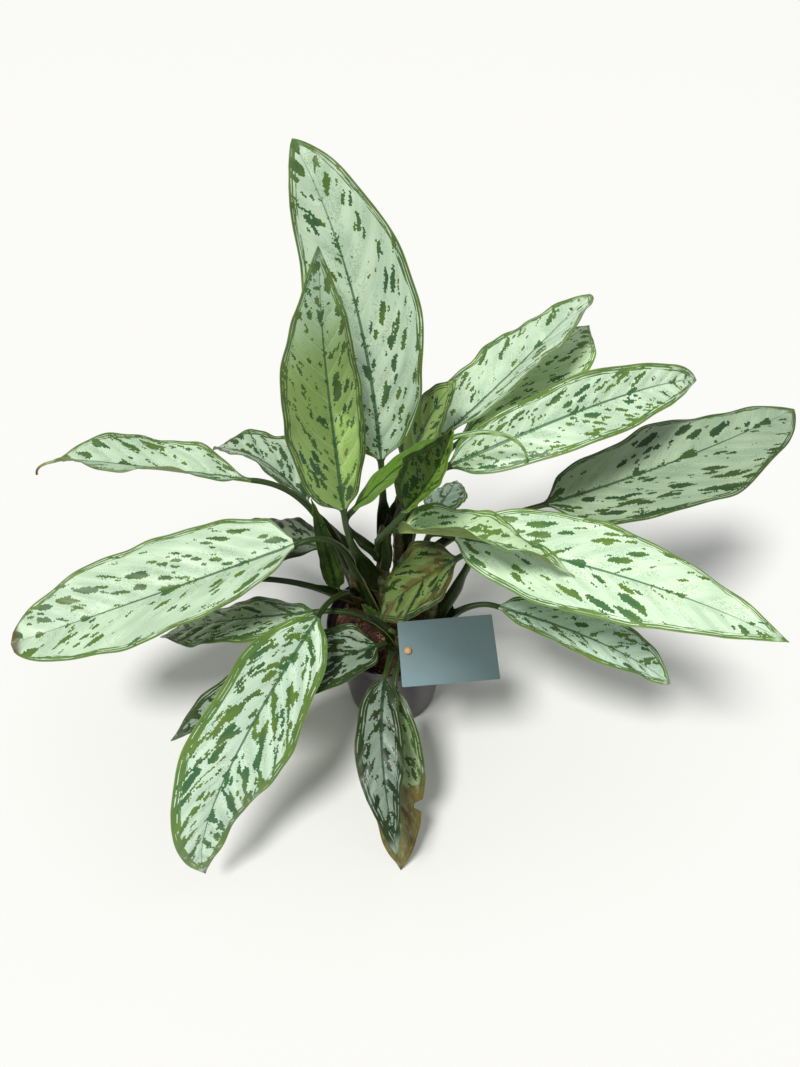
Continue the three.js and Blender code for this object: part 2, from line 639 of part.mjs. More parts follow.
/** Where the peg's middle line meets the soil, as a distance behind the card. */
function pegReach() {
  const frame = cardFrame();
  const onCard = new THREE.Vector3(...PEG_ON_CARD, 0).applyMatrix4(frame);
  const downwards = Math.sin(radians(CARD_TILT));
  return (onCard.z - SOIL_TOP) / downwards;
}

/** The peg's shaft, made longer or shorter at its point and at its head. */
function pegBar(radius, morePoint, moreHead) {
  const length = pegReach() + PEG_DEPTH + morePoint + moreHead;
  const bar = new THREE.CylinderGeometry(radius, radius, length, 10).rotateX(Math.PI / 2);
  bar.translate(...PEG_ON_CARD, moreHead - length / 2);
  return bar.applyMatrix4(cardFrame());
}

/** A wooden peg: a thin shaft under a round knob that sits on the card. */
function pegGeometry() {
  const seat = CARD_THICKNESS / 2 + GAP;
  const flat = 0.45; // the knob's underside is cut flat at this share of its radius
  const start = Math.asin(-flat);
  const steps = 5;
  const profile = [new THREE.Vector2(0, -flat * PEG_KNOB_RADIUS)];
  for (let k = 0; k <= steps; k++) {
    const angle = lerp(start, Math.PI / 2, k / steps);
    const radius = k === steps ? 0 : PEG_KNOB_RADIUS * Math.cos(angle);
    profile.push(new THREE.Vector2(radius, PEG_KNOB_RADIUS * Math.sin(angle)));
  }
  const knob = new THREE.LatheGeometry(profile, 12).rotateX(Math.PI / 2);
  knob.translate(...PEG_ON_CARD, seat + flat * PEG_KNOB_RADIUS);
  const shaft = toManifold(pegBar(PEG_RADIUS, 0, seat + 1));
  return fromManifold(shaft.add(toManifold(knob.applyMatrix4(cardFrame()))));
}

// ---- The whole plant ---------------------------------------------------------------------------
const plant = new THREE.Group();
plant.add(piece("pot", potGeometry(), potFinish()));
plant.add(piece("soil", soilGeometry(), soilFinish()));
for (const [name, stem] of Object.entries(stems)) {
  plant.add(piece(name, stemGeometry(stem), caneFinish()));
}
for (const values of leaves) {
  const leaf = { ...leafDefaults, ...values };
  const young = leaf.name.includes("young") || leaf.name.includes("sheath");
  plant.add(piece(leaf.name, leafGeometry(leaf), young ? youngBladeFinish() : bladeFinish()));
}
plant.add(piece("label_card", cardGeometry(), cardFinish()));
plant.add(piece("label_peg", pegGeometry(), woodFinish()));

export default plant;
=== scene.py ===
import math
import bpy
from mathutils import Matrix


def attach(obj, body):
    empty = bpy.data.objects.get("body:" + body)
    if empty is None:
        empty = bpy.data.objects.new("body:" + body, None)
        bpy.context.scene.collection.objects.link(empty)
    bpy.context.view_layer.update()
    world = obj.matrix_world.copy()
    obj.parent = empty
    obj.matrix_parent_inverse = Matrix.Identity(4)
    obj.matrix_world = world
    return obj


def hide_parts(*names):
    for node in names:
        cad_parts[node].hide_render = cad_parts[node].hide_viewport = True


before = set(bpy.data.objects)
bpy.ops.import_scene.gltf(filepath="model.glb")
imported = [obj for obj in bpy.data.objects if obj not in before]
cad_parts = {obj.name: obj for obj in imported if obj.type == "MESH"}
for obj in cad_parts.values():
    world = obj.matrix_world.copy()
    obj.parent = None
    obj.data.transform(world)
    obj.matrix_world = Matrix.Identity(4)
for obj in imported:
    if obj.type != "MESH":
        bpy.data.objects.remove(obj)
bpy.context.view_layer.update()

from types import SimpleNamespace

import bmesh
import bpy
import numpy as np
from mathutils import Euler, Matrix, Vector, noise

MM = 0.001  # every size below is in millimetres, and meshes are made in metres

# ---- The plant's measures, as in the model that this one dresses --------------------------
POT_HEIGHT = 115
POT_RIM_RADIUS = 65
POT_NECK_RADIUS = 60
POT_BASE_RADIUS = 46
POT_WALL = 1.4
POT_FLOOR = 2.4
RIM_BAND_HEIGHT = 10
DRAIN_HOLES = 8
DRAIN_HOLE_RADIUS = 4
DRAIN_RING_RADIUS = 32
SOIL_TOP = 104  # mean level of the potting mix
STEM_DEPTH = 30  # how deep the canes stand in it
RING_SPACING = 20  # from one leaf scar round a cane to the next
GAP = 0.3  # left between pieces that press on each other in the real thing

CARD_SIZE = (85, 59)
CARD_THICKNESS = 0.8
CARD_CORNER = 1.5
CARD_CENTRE = (50, -73, 166)
CARD_TILT = 70  # degrees that the card's face looks up
CARD_TURN = -6  # degrees that it looks to the side
CARD_SPIN = 10  # degrees that it is turned in its own plane
PEG_ON_CARD = (-35, 2)  # where the peg goes through the card, from its centre
PEG_RADIUS = 1.5
PEG_HOLE_RADIUS = 2
PEG_KNOB_RADIUS = 3.4
PEG_DEPTH = 22  # how deep the peg stands in the potting mix

STALK_TOP_RADIUS = 2.7  # stalk where the blade begins
BLEND_LENGTH = 0.09  # share of the blade over which the round stalk flattens
BASE_FOLD = 20  # extra fold of the blade where it leaves the stalk, in degrees

# ---- Camera, as the photograph was taken --------------------------------------------------
CAMERA_PLACE = (8, -479, 717)
CAMERA_PITCH = 45  # degrees that it looks down
CAMERA_LENS = 25.98
CAMERA_SENSOR = 36

# ---- Canes: where each leaves the mix, where its top is, and how thick it is --------------
STEMS = {
    "stem_left": SimpleNamespace(foot=(-34, 32), top=(-40, 36, 184), radius=6),
    "stem_middle": SimpleNamespace(foot=(-8, 20), top=(-8, 18, 232), radius=6.5),
    "stem_back": SimpleNamespace(foot=(6, 44), top=(8, 48, 236), radius=6),
    "stem_right": SimpleNamespace(foot=(36, -4), top=(42, -2, 176), radius=6),
    "stem_front": SimpleNamespace(foot=(8, -24), top=(6, -28, 128), radius=6.5),
}


def grow(name, **values):
    """One leaf: what is usual for a leaf, and the values that make this one differ."""
    leaf = dict(
        droop=0, sweep=0, bend=1.4, roll=0, twist=0, fold=12, curl=0.1, peak=0.42, tip=0.95,
        lean=0, tail=0, wave=2.5, waves=2.5, phase=0, waver=0.035, quilt=2.1, bite=0,
        foot_turn=0, foot_radius=4.4, spread=0.25, leave=0.45, arrive=0.35,
        finish="silver", yellow=0.0, shade=0.0, aged=0.0, blue=0.0, spots=0.0, bands=0.0,
    )
    leaf.update(values, name=name)
    return SimpleNamespace(**leaf)


# ---- Leaves ---------------------------------------------------------------------------------
# base: where the blade begins. heading, rise: compass direction (0 is +X, 90 is +Y) and slope
# of the midrib there. droop, sweep: how much slope and direction change by the tip. bend:
# above 1, the droop comes late. roll, twist: how far the blade is turned about its midrib at
# the base, and by the tip. fold: slope of each half. curl: how far the margins bend back.
# peak: where the blade is widest. tip: below 1 blunt, above 1 long. lean: how much wider the
# left half is. tail: share of the length that is only a thin tail. wave, waves, phase: height,
# number and start of the margin's ripples. waver: how uneven the margin is. quilt: height of
# the swellings between the side veins. bite: where the margin has a torn notch.
# stem, foot, foot_turn: the cane, the height on it and the degrees round it where the sheath
# begins. foot_radius: sheath there. spread, leave, arrive: how the stalk leaves the cane and
# meets the blade. yellow, shade, aged, blue: how far the colour goes that way. shade is partly a
# blade's own darker tone and partly painted shade, and below 0 partly a paler tone and partly
# painted light. spots, bands: more of the dark blotches, and of the dark bands along the side
# veins.
LEAVES = [
    grow("leaf_back_tall", stem="stem_middle", foot=200, base=(-8, 24, 296), heading=115,
        rise=82, droop=34, sweep=22, length=258, width=86, roll=-7, twist=-32, fold=14,
        curl=0.05, peak=0.47, tip=0.78, lean=-0.1,
        spots=0.05, shade=0.14, aged=0.03),
    grow("leaf_upright_young", stem="stem_middle", foot=158, base=(-39, -9, 269), heading=109,
        rise=77, droop=-21, sweep=16, length=228, width=70, roll=2, twist=6, fold=14, curl=0.09,
        peak=0.43, tip=0.88, lean=0.2, foot_radius=5.2,
        yellow=0.05, shade=0.26, spots=0.08, quilt=0.9, blue=0.3),
    grow("leaf_left_upper", stem="stem_left", foot=160, base=(-124, 60, 247), heading=-178,
        rise=12, droop=100, sweep=3, length=206, width=75, roll=14, fold=32, curl=0.02, bend=12,
        peak=0.55, tip=1, tail=0.12, lean=-0.08, wave=5, waves=2.3, phase=2.2,
        shade=0.03, spots=0.15, aged=0.15),
    grow("leaf_left_upper_back", stem="stem_left", foot=146, base=(-85, 93, 186), heading=143,
        rise=43, droop=72, sweep=16, length=128, width=79, roll=19, twist=-6, fold=36,
        curl=0.02, lean=-0.06, foot_turn=-30,
        shade=0.28, spots=0.15, bands=0.4),
    grow("leaf_left_big", stem="stem_middle", foot=112, base=(-80, 6, 221), heading=-165,
        rise=-13, droop=-5, sweep=3, length=270, width=106, twist=-17, fold=19, curl=0.04,
        peak=0.46, tip=0.5, lean=-0.03, foot_radius=5.2,
        spots=0.02, aged=0.15, shade=0.02),
    grow("leaf_left_behind", stem="stem_left", foot=124, base=(-69, 51, 166), heading=155,
        rise=-2, droop=33, sweep=-10, length=138, width=67, twist=6, fold=3, curl=0.16,
        foot_turn=-30, spread=0.5,
        shade=0.7, yellow=0.2, bands=0.6),
    grow("leaf_left_low", stem="stem_front", foot=114, base=(-69, -18, 152), heading=-174,
        rise=-2, droop=40, sweep=-22, length=179, width=63, roll=8, twist=6, fold=6, peak=0.44,
        tip=1.05, lean=0.06, foot_turn=-12, foot_radius=3.8,
        shade=0.12, bands=0.6),
    grow("leaf_front_left_hanging", stem="stem_left", foot=112, base=(-64, -35, 172),
        heading=-109, rise=7, droop=100, sweep=-25, length=285, width=90, roll=-30, twist=-48,
        fold=12, curl=0.14, peak=0.45, tip=1.06, foot_turn=36,
        bands=0.6, blue=0.3, shade=-0.16, spots=0.1, aged=0.15),
    # painted shade: most of this low leaf's shade stands for the shadow of the leaves above it
    grow("leaf_front_left_low", stem="stem_front", foot=111, base=(-11, -38, 126), heading=-148,
        rise=17, droop=65, sweep=-19, length=222, width=67, roll=-4, twist=5, fold=16,
        curl=0.07, peak=0.3, tip=0.87, lean=-0.06, foot_turn=-6, foot_radius=3.8,
        shade=0.5, bands=0.65, blue=0.1),
    grow("leaf_front_small", stem="stem_front", foot=114, base=(-5, -72, 127), heading=-98,
        rise=0, droop=55, sweep=27, length=163, width=43, roll=-5, twist=-8, fold=11, curl=0.12,
        peak=0.4, tip=1.13, lean=-0.1, foot_radius=3.8,
        shade=0.58, bands=0.55, blue=0.4),
    grow("leaf_front_old", stem="stem_front", foot=109, base=(3, -76, 119), heading=-89,
        rise=-23, droop=50, sweep=4, length=176, width=50, fold=10, peak=0.46, foot_turn=40,
        foot_radius=3.8,
        shade=0.4, bands=0.4, yellow=0.55, aged=0.2, bite=0.62),
    # painted light: its shade below 0 brightens it where it lies in the shadow of leaf_right_big
    grow("leaf_right_low", stem="stem_right", foot=112, base=(98, -11, 152), heading=-31,
        rise=11, droop=50, sweep=16, length=180, width=58, roll=2, twist=1, fold=17, curl=0,
        peak=0.5, tip=0.8, lean=0.16, foot_turn=-30,
        shade=-0.1, bands=0.15, blue=0.6, spots=-0.12),
    grow("leaf_right_big", stem="stem_right", foot=152, base=(50, -1, 237), heading=-23, rise=8,
        droop=25, sweep=2, length=290, width=94, roll=17, twist=-10, fold=11, curl=0.12,
        peak=0.4, tip=1, foot_turn=90, spread=0.5, leave=0.6,
        spots=-0.12, shade=-0.22),
    grow("leaf_right_twisted", stem="stem_middle", foot=182, base=(4, -21, 263), heading=-23,
        rise=19, droop=58, sweep=16, length=160, width=62, roll=-24, twist=9, fold=38,
        curl=0.02, peak=0.32, tip=1.35, wave=4, waves=2.8, phase=-0.8, foot_turn=12,
        foot_radius=3.4, arrive=0.22,
        shade=-0.14, yellow=0.28, bands=0.15),
    grow("leaf_right_upper", stem="stem_back", foot=200, base=(43, 60, 295), heading=34,
        rise=26, droop=22, sweep=21, length=218, width=86, roll=-15, twist=-11, fold=25,
        curl=0.01, peak=0.36, tip=0.67, foot_turn=22, spread=0.1,
        bands=0.2),
    # painted light: its shade below 0 brightens it where it lies in the shadow of leaf_right_upper
    grow("leaf_right_upper_back", stem="stem_back", foot=184, base=(54, 77, 270), heading=39,
        rise=27, droop=33, sweep=10, length=210, width=74, roll=-7, twist=5, fold=6, curl=0.19,
        peak=0.6, tip=1.1, lean=-0.19, foot_turn=66,
        shade=-0.45, spots=0.1, yellow=0.2),
    grow("leaf_right_middle", stem="stem_back", foot=170, base=(46, 30, 287), heading=3,
        rise=28, droop=53, sweep=37, length=270, width=62, roll=35, twist=24, fold=26,
        curl=0.03, tip=0.8, lean=-0.03, foot_turn=-15,
        spots=0.1, shade=-0.08),
    grow("leaf_right_far", stem="stem_back", foot=130, base=(141, 55, 220), heading=5, rise=17,
        droop=14, sweep=26, length=272, width=108, roll=8, twist=-7, fold=16, curl=0.1,
        peak=0.44, tip=0.8, lean=-0.15, foot_turn=8, foot_radius=3.6, spread=0.7,
        shade=0.33, spots=0.12, yellow=0.12),
    grow("leaf_young_shaded", stem="stem_middle", foot=214, base=(15, 45, 272), heading=19,
        rise=76, droop=28, length=97, width=50, roll=8, twist=9, fold=21, curl=0.08, wave=1,
        foot_radius=3.4,
        yellow=0.85, shade=0.36, spots=-0.2, bands=0.3),
    grow("leaf_young_rolled", stem="stem_middle", foot=196, base=(-34, -3, 266), heading=7,
        rise=50, droop=134, length=196, width=37, roll=-8, fold=16, curl=0.13,
        bend=2.6, peak=0.44, tip=1.06, tail=0.42, wave=0.5, foot_radius=3.4,
        finish="lime", shade=0.12),
    grow("leaf_young_dark", stem="stem_middle", foot=203, base=(12, -32, 294), heading=3,
        rise=56, droop=-24, sweep=18, length=88, width=54, roll=9, twist=15, fold=48, curl=0.02,
        peak=0.36, tip=1.2, wave=1, foot_turn=-38, foot_radius=3, leave=0.3, arrive=0.55,
        finish="dark", shade=0.2, spots=0.5),
    grow("leaf_right_inner", stem="stem_back", foot=150, base=(40, 65, 202), heading=62,
        rise=-10, droop=5, sweep=10, length=72, width=42, roll=-5, twist=-6, fold=7, curl=0.13,
        wave=1, foot_turn=50,
        shade=-0.3, bands=0.1, spots=-0.1, blue=0.6),
    grow("leaf_centre_arching", stem="stem_right", foot=128, base=(59, -18, 226), heading=-178,
        rise=-39, droop=26, sweep=-5, length=111, width=69, roll=-23, twist=14, fold=12,
        curl=0.1, peak=0.44, tip=0.83, lean=-0.08, wave=1.5, foot_turn=40, foot_radius=4.2,
        yellow=0.85, shade=0.56, spots=-0.25, bands=0.6, aged=0.45),
    grow("leaf_left_hidden", stem="stem_left", foot=112, base=(-125, 1, 177), heading=169,
        rise=-11, droop=36, sweep=-15, length=128, width=58, fold=8, foot_turn=32,
        foot_radius=3.6, spread=0.6,
        shade=0.3),
    grow("sheath_left", stem="stem_left", foot=113, base=(-54, 21, 140), heading=153, rise=81,
        droop=1, sweep=5, length=114, width=21, roll=-62, twist=10, fold=14, curl=0.04,
        peak=0.2, tip=0.9, wave=0, foot_turn=-28, foot_radius=3.8,
        finish="dark", shade=0.55, quilt=0.3, spots=-0.7),
    grow("sheath_front", stem="stem_front", foot=109, base=(-2, -16, 122), heading=138, rise=10,
        sweep=-4, length=40, width=13, fold=20, wave=0, foot_turn=-34, foot_radius=3,
        finish="dark", shade=0.65, quilt=0.3, spots=-0.7),
]


# ---- Meshes and objects ---------------------------------------------------------------------
SHARP_EDGE = 40  # degrees: an edge where a skin turns by more than this stays sharp


def placed(name, data):
    """A new object in the scene."""
    made = bpy.data.objects.new(name, data)
    bpy.context.scene.collection.objects.link(made)
    return made


def new_piece(name, mesh, *finishes, sharp=SHARP_EDGE, smooth=True):
    """An object with its finishes. sharp is the angle from which its edges stay sharp, and a
    piece that isn't smooth shows every face flat."""
    for finish in finishes:
        mesh.materials.append(finish)
    mesh.polygons.foreach_set("use_smooth", np.full(len(mesh.polygons), smooth))
    mesh.set_sharp_from_angle(angle=math.radians(sharp))
    return placed(name, mesh)


def mesh_from(name, bm):
    """The mesh that a bmesh holds. The bmesh is used up."""
    mesh = bpy.data.meshes.new(name)
    bm.to_mesh(mesh)
    bm.free()
    return mesh


def circle(radius, sides, height=0.0):
    """Points round the Z axis."""
    return [(radius * math.cos(a), radius * math.sin(a), height)
            for a in np.linspace(0, 2 * np.pi, sides, endpoint=False)]


def closed_mesh(name, loops):
    """A closed skin through loops of points, in mm. The first and the last loop are capped,
    or are a single point, where the skin ends in a tip."""
    bm = bmesh.new()
    rows = [[bm.verts.new([c * MM for c in point]) for point in loop] for loop in loops]
    for lower, upper in zip(rows, rows[1:]):
        for k in range(max(len(lower), len(upper))):
            corners = [lower[k % len(lower)], lower[(k + 1) % len(lower)],
                       upper[(k + 1) % len(upper)], upper[k % len(upper)]]
            bm.faces.new(list(dict.fromkeys(corners)))
    for end in (rows[0][::-1], rows[-1]):
        if len(end) > 1:
            bm.faces.new(end)
    bmesh.ops.recalc_face_normals(bm, faces=bm.faces)
    return mesh_from(name, bm)


def turned_mesh(name, profile, sides):
    """A shape turned about Z from a profile of (radius, height), from axis to axis."""
    return closed_mesh(name, [
        circle(radius, sides if radius else 1, height) for radius, height in profile])


def applied(piece):
    """The piece with its modifiers made part of its mesh."""
    evaluated = piece.evaluated_get(bpy.context.evaluated_depsgraph_get())
    mesh = bpy.data.meshes.new_from_object(evaluated)
    piece.modifiers.clear()
    piece.data = mesh
    return piece


# ---- Leaf shapes ----------------------------------------------------------------------------
BLADE_ROWS = 96
BLADE_COLUMNS = 37
ROW_CROWDING = 0.92  # below 1, rows lie closer together towards the tip
MIDRIB_STEPS = 320
BLADE_THICKNESS = 0.55
TIP_HALF_WIDTH = 0.35
TAIL_HALF_WIDTHS = (2.8, 1.2)  # of a thin tail, where it leaves the blade and at its end
TAIL_ROLLING = 0.06  # share of the blade over which it rolls up into its tail
TAIL_ROLL = 1.8  # what being rolled up adds to a tail's thickness
RIB_HALF_WIDTH = 1.7
RIB_TIP_HEIGHT = 0.3  # how far the midrib stands out below at the tip
FOLD_LOSS = 0.45  # share of its fold that a blade loses by the tip
FOLD_ROUNDING = 1.6  # the fold is round over this distance from the midrib
BASE_FOLD_FADE = 0.07  # share of the blade over which the extra fold at its base fades
FULL_RIPPLES = 0.3  # ripples fade where a blade is narrower than this share of its width
FINE_RIPPLE = 0.7  # height of the finer ripples
FINE_RIPPLES = 7.3  # and their number along a blade
RIPPLE_LAG = 1.9  # radians by which the right margin's ripples come later
WAVER_LAG = 2.3
BITE_DEPTH = 0.34  # of a torn notch, as a share of the half width
BITE_LENGTH = 0.028  # half its length, as a share of the blade's
VEIN_SPACING = 21  # between side veins, along the midrib
VEIN_SLANT = 1.15  # how far a side vein runs forward for each millimetre outward, at first
VEIN_BEND = 3.0  # and how much more it does so towards the margin
BAND_SPACING = 29  # between the dark bands that lie along side veins

STALK_ROWS = 30
STALK_END = 0.985  # the stalk's last row is just short of the blade's first
STALK_SLIM = 0.85  # share of the way up from which the stalk keeps its top radius
SHEATH_TOP = 0.15  # share of the way up at which the sheath starts to thin
SHEATH_CLOSING = (0.3, 0.52)  # shares of the way up between which the open sheath closes
CLASP_ROWS = 6
CLASP_LENGTH = 13  # of the sheath's foot, which runs down its cane
CLASP_DEPTH = 4.5  # how far it wraps towards the cane's middle
CLASP_TAPER = 0.35
FOOT_INSET = 2.6  # how far the foot of the sheath is pressed round the cane
CANE_WAIST = 0.4  # how much thinner a cane is halfway between two scars

PATTERN_STRIDE = 400.0  # so that each leaf has its own stretch of the pattern
STALK_PATTERN = (120, 4)  # length and half width of a stalk in its pattern
OFF_THE_BLADE = 99  # distance from the margin given to points that lie on no blade
STALK_SKIN, BLADE_SKIN, UNDER_SKIN = range(3)  # the finishes of a leaf, in their order
SHARP_LEAF_EDGE = 55  # as SHARP_EDGE, for leaves


def lerp(a, b, share):
    return a + (b - a) * share


def smoothstep(value, low, high):
    share = np.clip((value - low) / (high - low), 0, 1)
    return share * share * (3 - 2 * share)


def blade_frame(leaf, u):
    """Along, left and up directions of the blade at shares u of its length."""
    compass = np.radians(leaf.heading + leaf.sweep * u)
    slope = np.radians(leaf.rise - leaf.droop * u**leaf.bend)
    along = np.stack(
        [np.cos(slope) * np.cos(compass), np.cos(slope) * np.sin(compass), np.sin(slope)], -1)
    level = np.stack([-np.sin(compass), np.cos(compass), 0 * u], -1)
    upright = np.cross(along, level)
    turn = np.radians(leaf.roll + leaf.twist * u)[:, None]
    left = np.cos(turn) * level + np.sin(turn) * upright
    up = np.cos(turn) * upright - np.sin(turn) * level
    return along, left, up


def midrib(leaf, u):
    """Points of the midrib at shares u of its length."""
    fine = np.linspace(0, 1, MIDRIB_STEPS + 1)
    middles = (fine[1:] + fine[:-1]) / 2
    steps = blade_frame(leaf, middles)[0] * leaf.length / MIDRIB_STEPS
    path = np.vstack([np.zeros(3), np.cumsum(steps, axis=0)]) + np.array(leaf.base)
    return np.stack([np.interp(u, fine, path[:, k]) for k in range(3)], -1)


def blade_half(leaf, u):
    """Half width of a blade. It never comes to nothing, at a tip or on a tail."""
    v = np.clip(u / (1 - leaf.tail), 0, 1)
    rise = leaf.tip * leaf.peak / (1 - leaf.peak)
    profile = (v / leaf.peak) ** rise * ((1 - v) / (1 - leaf.peak)) ** leaf.tip
    least = lerp(*TAIL_HALF_WIDTHS, u**4) if leaf.tail else TIP_HALF_WIDTH
    return np.maximum(least, leaf.width / 2 * profile)


def margin_reach(leaf, u, s):
    """How far each margin reaches as a share of the half width: no margin is a clean curve."""
    turn = 2 * np.pi * u + 3 * leaf.phase + leaf.heading / 20 + np.where(s < 0, WAVER_LAG, 0)
    waver = np.sin(2.3 * turn) + 0.6 * np.sin(4.1 * turn + 1)
    reach = (1 + leaf.lean * np.sign(s)) * (1 + leaf.waver * waver)
    if leaf.bite:
        torn = BITE_DEPTH * np.exp(-(((u - leaf.bite) / BITE_LENGTH) ** 4))
        reach = reach * np.where(s > 0, 1 - torn, 1)
    return reach


def vein_place(leaf, u, x):
    """A measure that stays the same along one side vein: where it leaves the midrib, in mm."""
    outward = np.abs(x)
    return u * leaf.length - VEIN_SLANT * outward - VEIN_BEND * outward**3 / leaf.width**2


def blade_top(leaf, u, s):
    """The upper face, for rows u from base to tip and columns s from the right margin (-1) to
    the left one (1): how far its points are to the left, up, and in from the margin."""
    u = u[:, None]
    s = s[None, :]
    out = np.abs(s)
    half = blade_half(leaf, u)
    margin = half * margin_reach(leaf, u, s)
    fold = np.radians(
        leaf.fold * (1 - FOLD_LOSS * u) + BASE_FOLD * np.exp(-u / BASE_FOLD_FADE))
    across = np.sign(s) * margin * out * np.cos(fold)
    rise = np.sin(fold) * (np.hypot(margin * out, FOLD_ROUNDING) - FOLD_ROUNDING)
    lag = np.where(s < 0, RIPPLE_LAG, 0)
    ripple = leaf.wave * np.sin(2 * np.pi * leaf.waves * u + leaf.phase + lag)
    fine = FINE_RIPPLE * np.sin(2 * np.pi * FINE_RIPPLES * u + 2.1 * leaf.phase + 2 * lag)
    fullness = np.minimum(1, half / (FULL_RIPPLES * leaf.width / 2))
    swelling = np.abs(np.sin(np.pi * vein_place(leaf, u, across) / VEIN_SPACING)) ** 0.5 - 0.6
    quilt = leaf.quilt * fullness * swelling * np.clip(out / 0.15, 0, 1) * (1 - s**4)
    lift = rise - leaf.curl * margin * s * s + fullness * s * s * (ripple + fine * out) + quilt
    return across, lift, margin * (1 - out)


def blade_bottom(leaf, u, across, lift):
    """The lower face: the upper one moved by the thickness, with the midrib standing out."""
    step_across = np.gradient(across, axis=1)
    step_up = np.gradient(lift, axis=1)
    length = np.hypot(step_across, step_up) + 1e-9
    rib = lerp(STALK_TOP_RADIUS, RIB_TIP_HEIGHT, np.sqrt(u))[:, None]
    depth = BLADE_THICKNESS + rib * np.exp(-((across / RIB_HALF_WIDTH) ** 2))
    if leaf.tail:
        start = 1 - leaf.tail
        rolled = smoothstep(u, start - TAIL_ROLLING, start) * (1 - 0.5 * u**8)
        depth = depth + TAIL_ROLL * rolled[:, None]
    return across + step_up / length * depth, lift - step_across / length * depth


def stalk_section(radius, sheath):
    """A round stalk with a shallow channel above; sheath 1 spreads it into a clasping wing."""
    edge = 0.12  # radians between the margin and the ends of the two faces
    angle = np.linspace(np.pi - edge, edge, BLADE_COLUMNS)
    x = np.cos(angle)
    y = np.sin(angle)
    channel = 0.22 * (1 - sheath) * np.exp(-((x / 0.35) ** 2))
    wide = radius * (1 + 0.6 * sheath)
    clasp = 0.9 * radius * sheath * np.abs(x) ** 2.5
    top = np.stack([wide * x, radius * y * (1 - 1.45 * sheath) - radius * channel + clasp], -1)
    bottom = np.stack([wide * x, -radius * y * (1 + 0.15 * sheath) + clasp], -1)
    return top, bottom


def stem_point(stem, height):
    """The middle of a cane at a height."""
    share = (height - SOIL_TOP) / (stem.top[2] - SOIL_TOP)
    return Vector((
        lerp(stem.foot[0], stem.top[0], share), lerp(stem.foot[1], stem.top[1], share), height))


def stalk_path(leaf):
    """Four control points of the stalk's curve, and the direction out of the cane at its foot."""
    stem = STEMS[leaf.stem]
    axis = stem_point(stem, leaf.foot)
    end = Vector(leaf.base)
    facing = math.atan2(end.y - axis.y, end.x - axis.x) + math.radians(leaf.foot_turn)
    out = Vector((math.cos(facing), math.sin(facing), 0))
    foot_reach = leaf.foot_radius * math.cos(math.atan(leaf.spread))
    start = axis + out * (stem.radius - CANE_WAIST + GAP + foot_reach)
    leaving = (Vector((0, 0, 1)) + leaf.spread * out).normalized()
    span = (end - start).length
    arriving = Vector(blade_frame(leaf, np.array([0.0]))[0][0])
    points = (start, start + leaving * leaf.leave * span,
              end - arriving * leaf.arrive * span, end)
    return points, out


def bezier(points, t):
    """Place and direction at a share t of a curve with four control points."""
    a, b, c, d = points
    place = (1 - t) ** 3 * a + 3 * (1 - t) ** 2 * t * b + 3 * (1 - t) * t**2 * c + t**3 * d
    tangent = ((1 - t) ** 2 * (b - a) + 2 * (1 - t) * t * (c - b) + t**2 * (d - c)).normalized()
    return place, tangent


def stalk_sections(leaf):
    """Rows of points from the foot of the sheath to the blade, top and bottom, and how far up
    the stalk each row is: 0 at its foot, 1 at the blade, below 0 where it clasps the cane."""
    path, out = stalk_path(leaf)
    along, left, up = (Vector(axis[0]) for axis in blade_frame(leaf, np.array([0.0])))
    rows = []
    for t in np.linspace(STALK_END, 0, STALK_ROWS).tolist():
        place, tangent = bezier(path, t)
        turn = along.rotation_difference(tangent)
        along, left, up = tangent, turn @ left, turn @ up
        sheath = 1 - smoothstep(t, *SHEATH_CLOSING)
        radius = lerp(leaf.foot_radius, STALK_TOP_RADIUS, smoothstep(t, SHEATH_TOP, STALK_SLIM))
        inset = FOOT_INSET * (1 - smoothstep(t, 0, SHEATH_CLOSING[0]))
        rows.append((t, place - out * inset, left, up, radius, sheath))
    foot, foot_radius = rows[-1][1], rows[-1][4]
    for k in range(1, CLASP_ROWS + 1):
        share = k / CLASP_ROWS
        place = foot - along * CLASP_LENGTH * share - out * CLASP_DEPTH * share**1.6
        rows.append((-share, place, left, up, foot_radius * (1 - CLASP_TAPER * share), 1))
    places, marks = [], []
    for t, centre, left, up, radius, sheath in reversed(rows):
        left, up, centre = np.array(left), np.array(up), np.array(centre)
        places.append([centre + face[:, :1] * left + face[:, 1:] * up
                       for face in stalk_section(radius, sheath)])
        marks.append(t)
    return np.array(places), np.array(marks)


def blade_sections(leaf, u, flat_top, flat_bottom):
    """Rows of points along the blade, top and bottom, from the round stalk to the flat tip."""
    share = smoothstep(u, 0, BLEND_LENGTH)[:, None, None]
    centre = midrib(leaf, u)[:, None, :]
    _, left, up = (axis[:, None, :] for axis in blade_frame(leaf, u))
    faces = []
    for flat, rounded in zip((flat_top, flat_bottom), stalk_section(STALK_TOP_RADIUS, 0)):
        section = lerp(rounded[None], np.stack(flat, -1), share)
        faces.append(centre + section[..., :1] * left + section[..., 1:] * up)
    return np.stack(faces, 1)


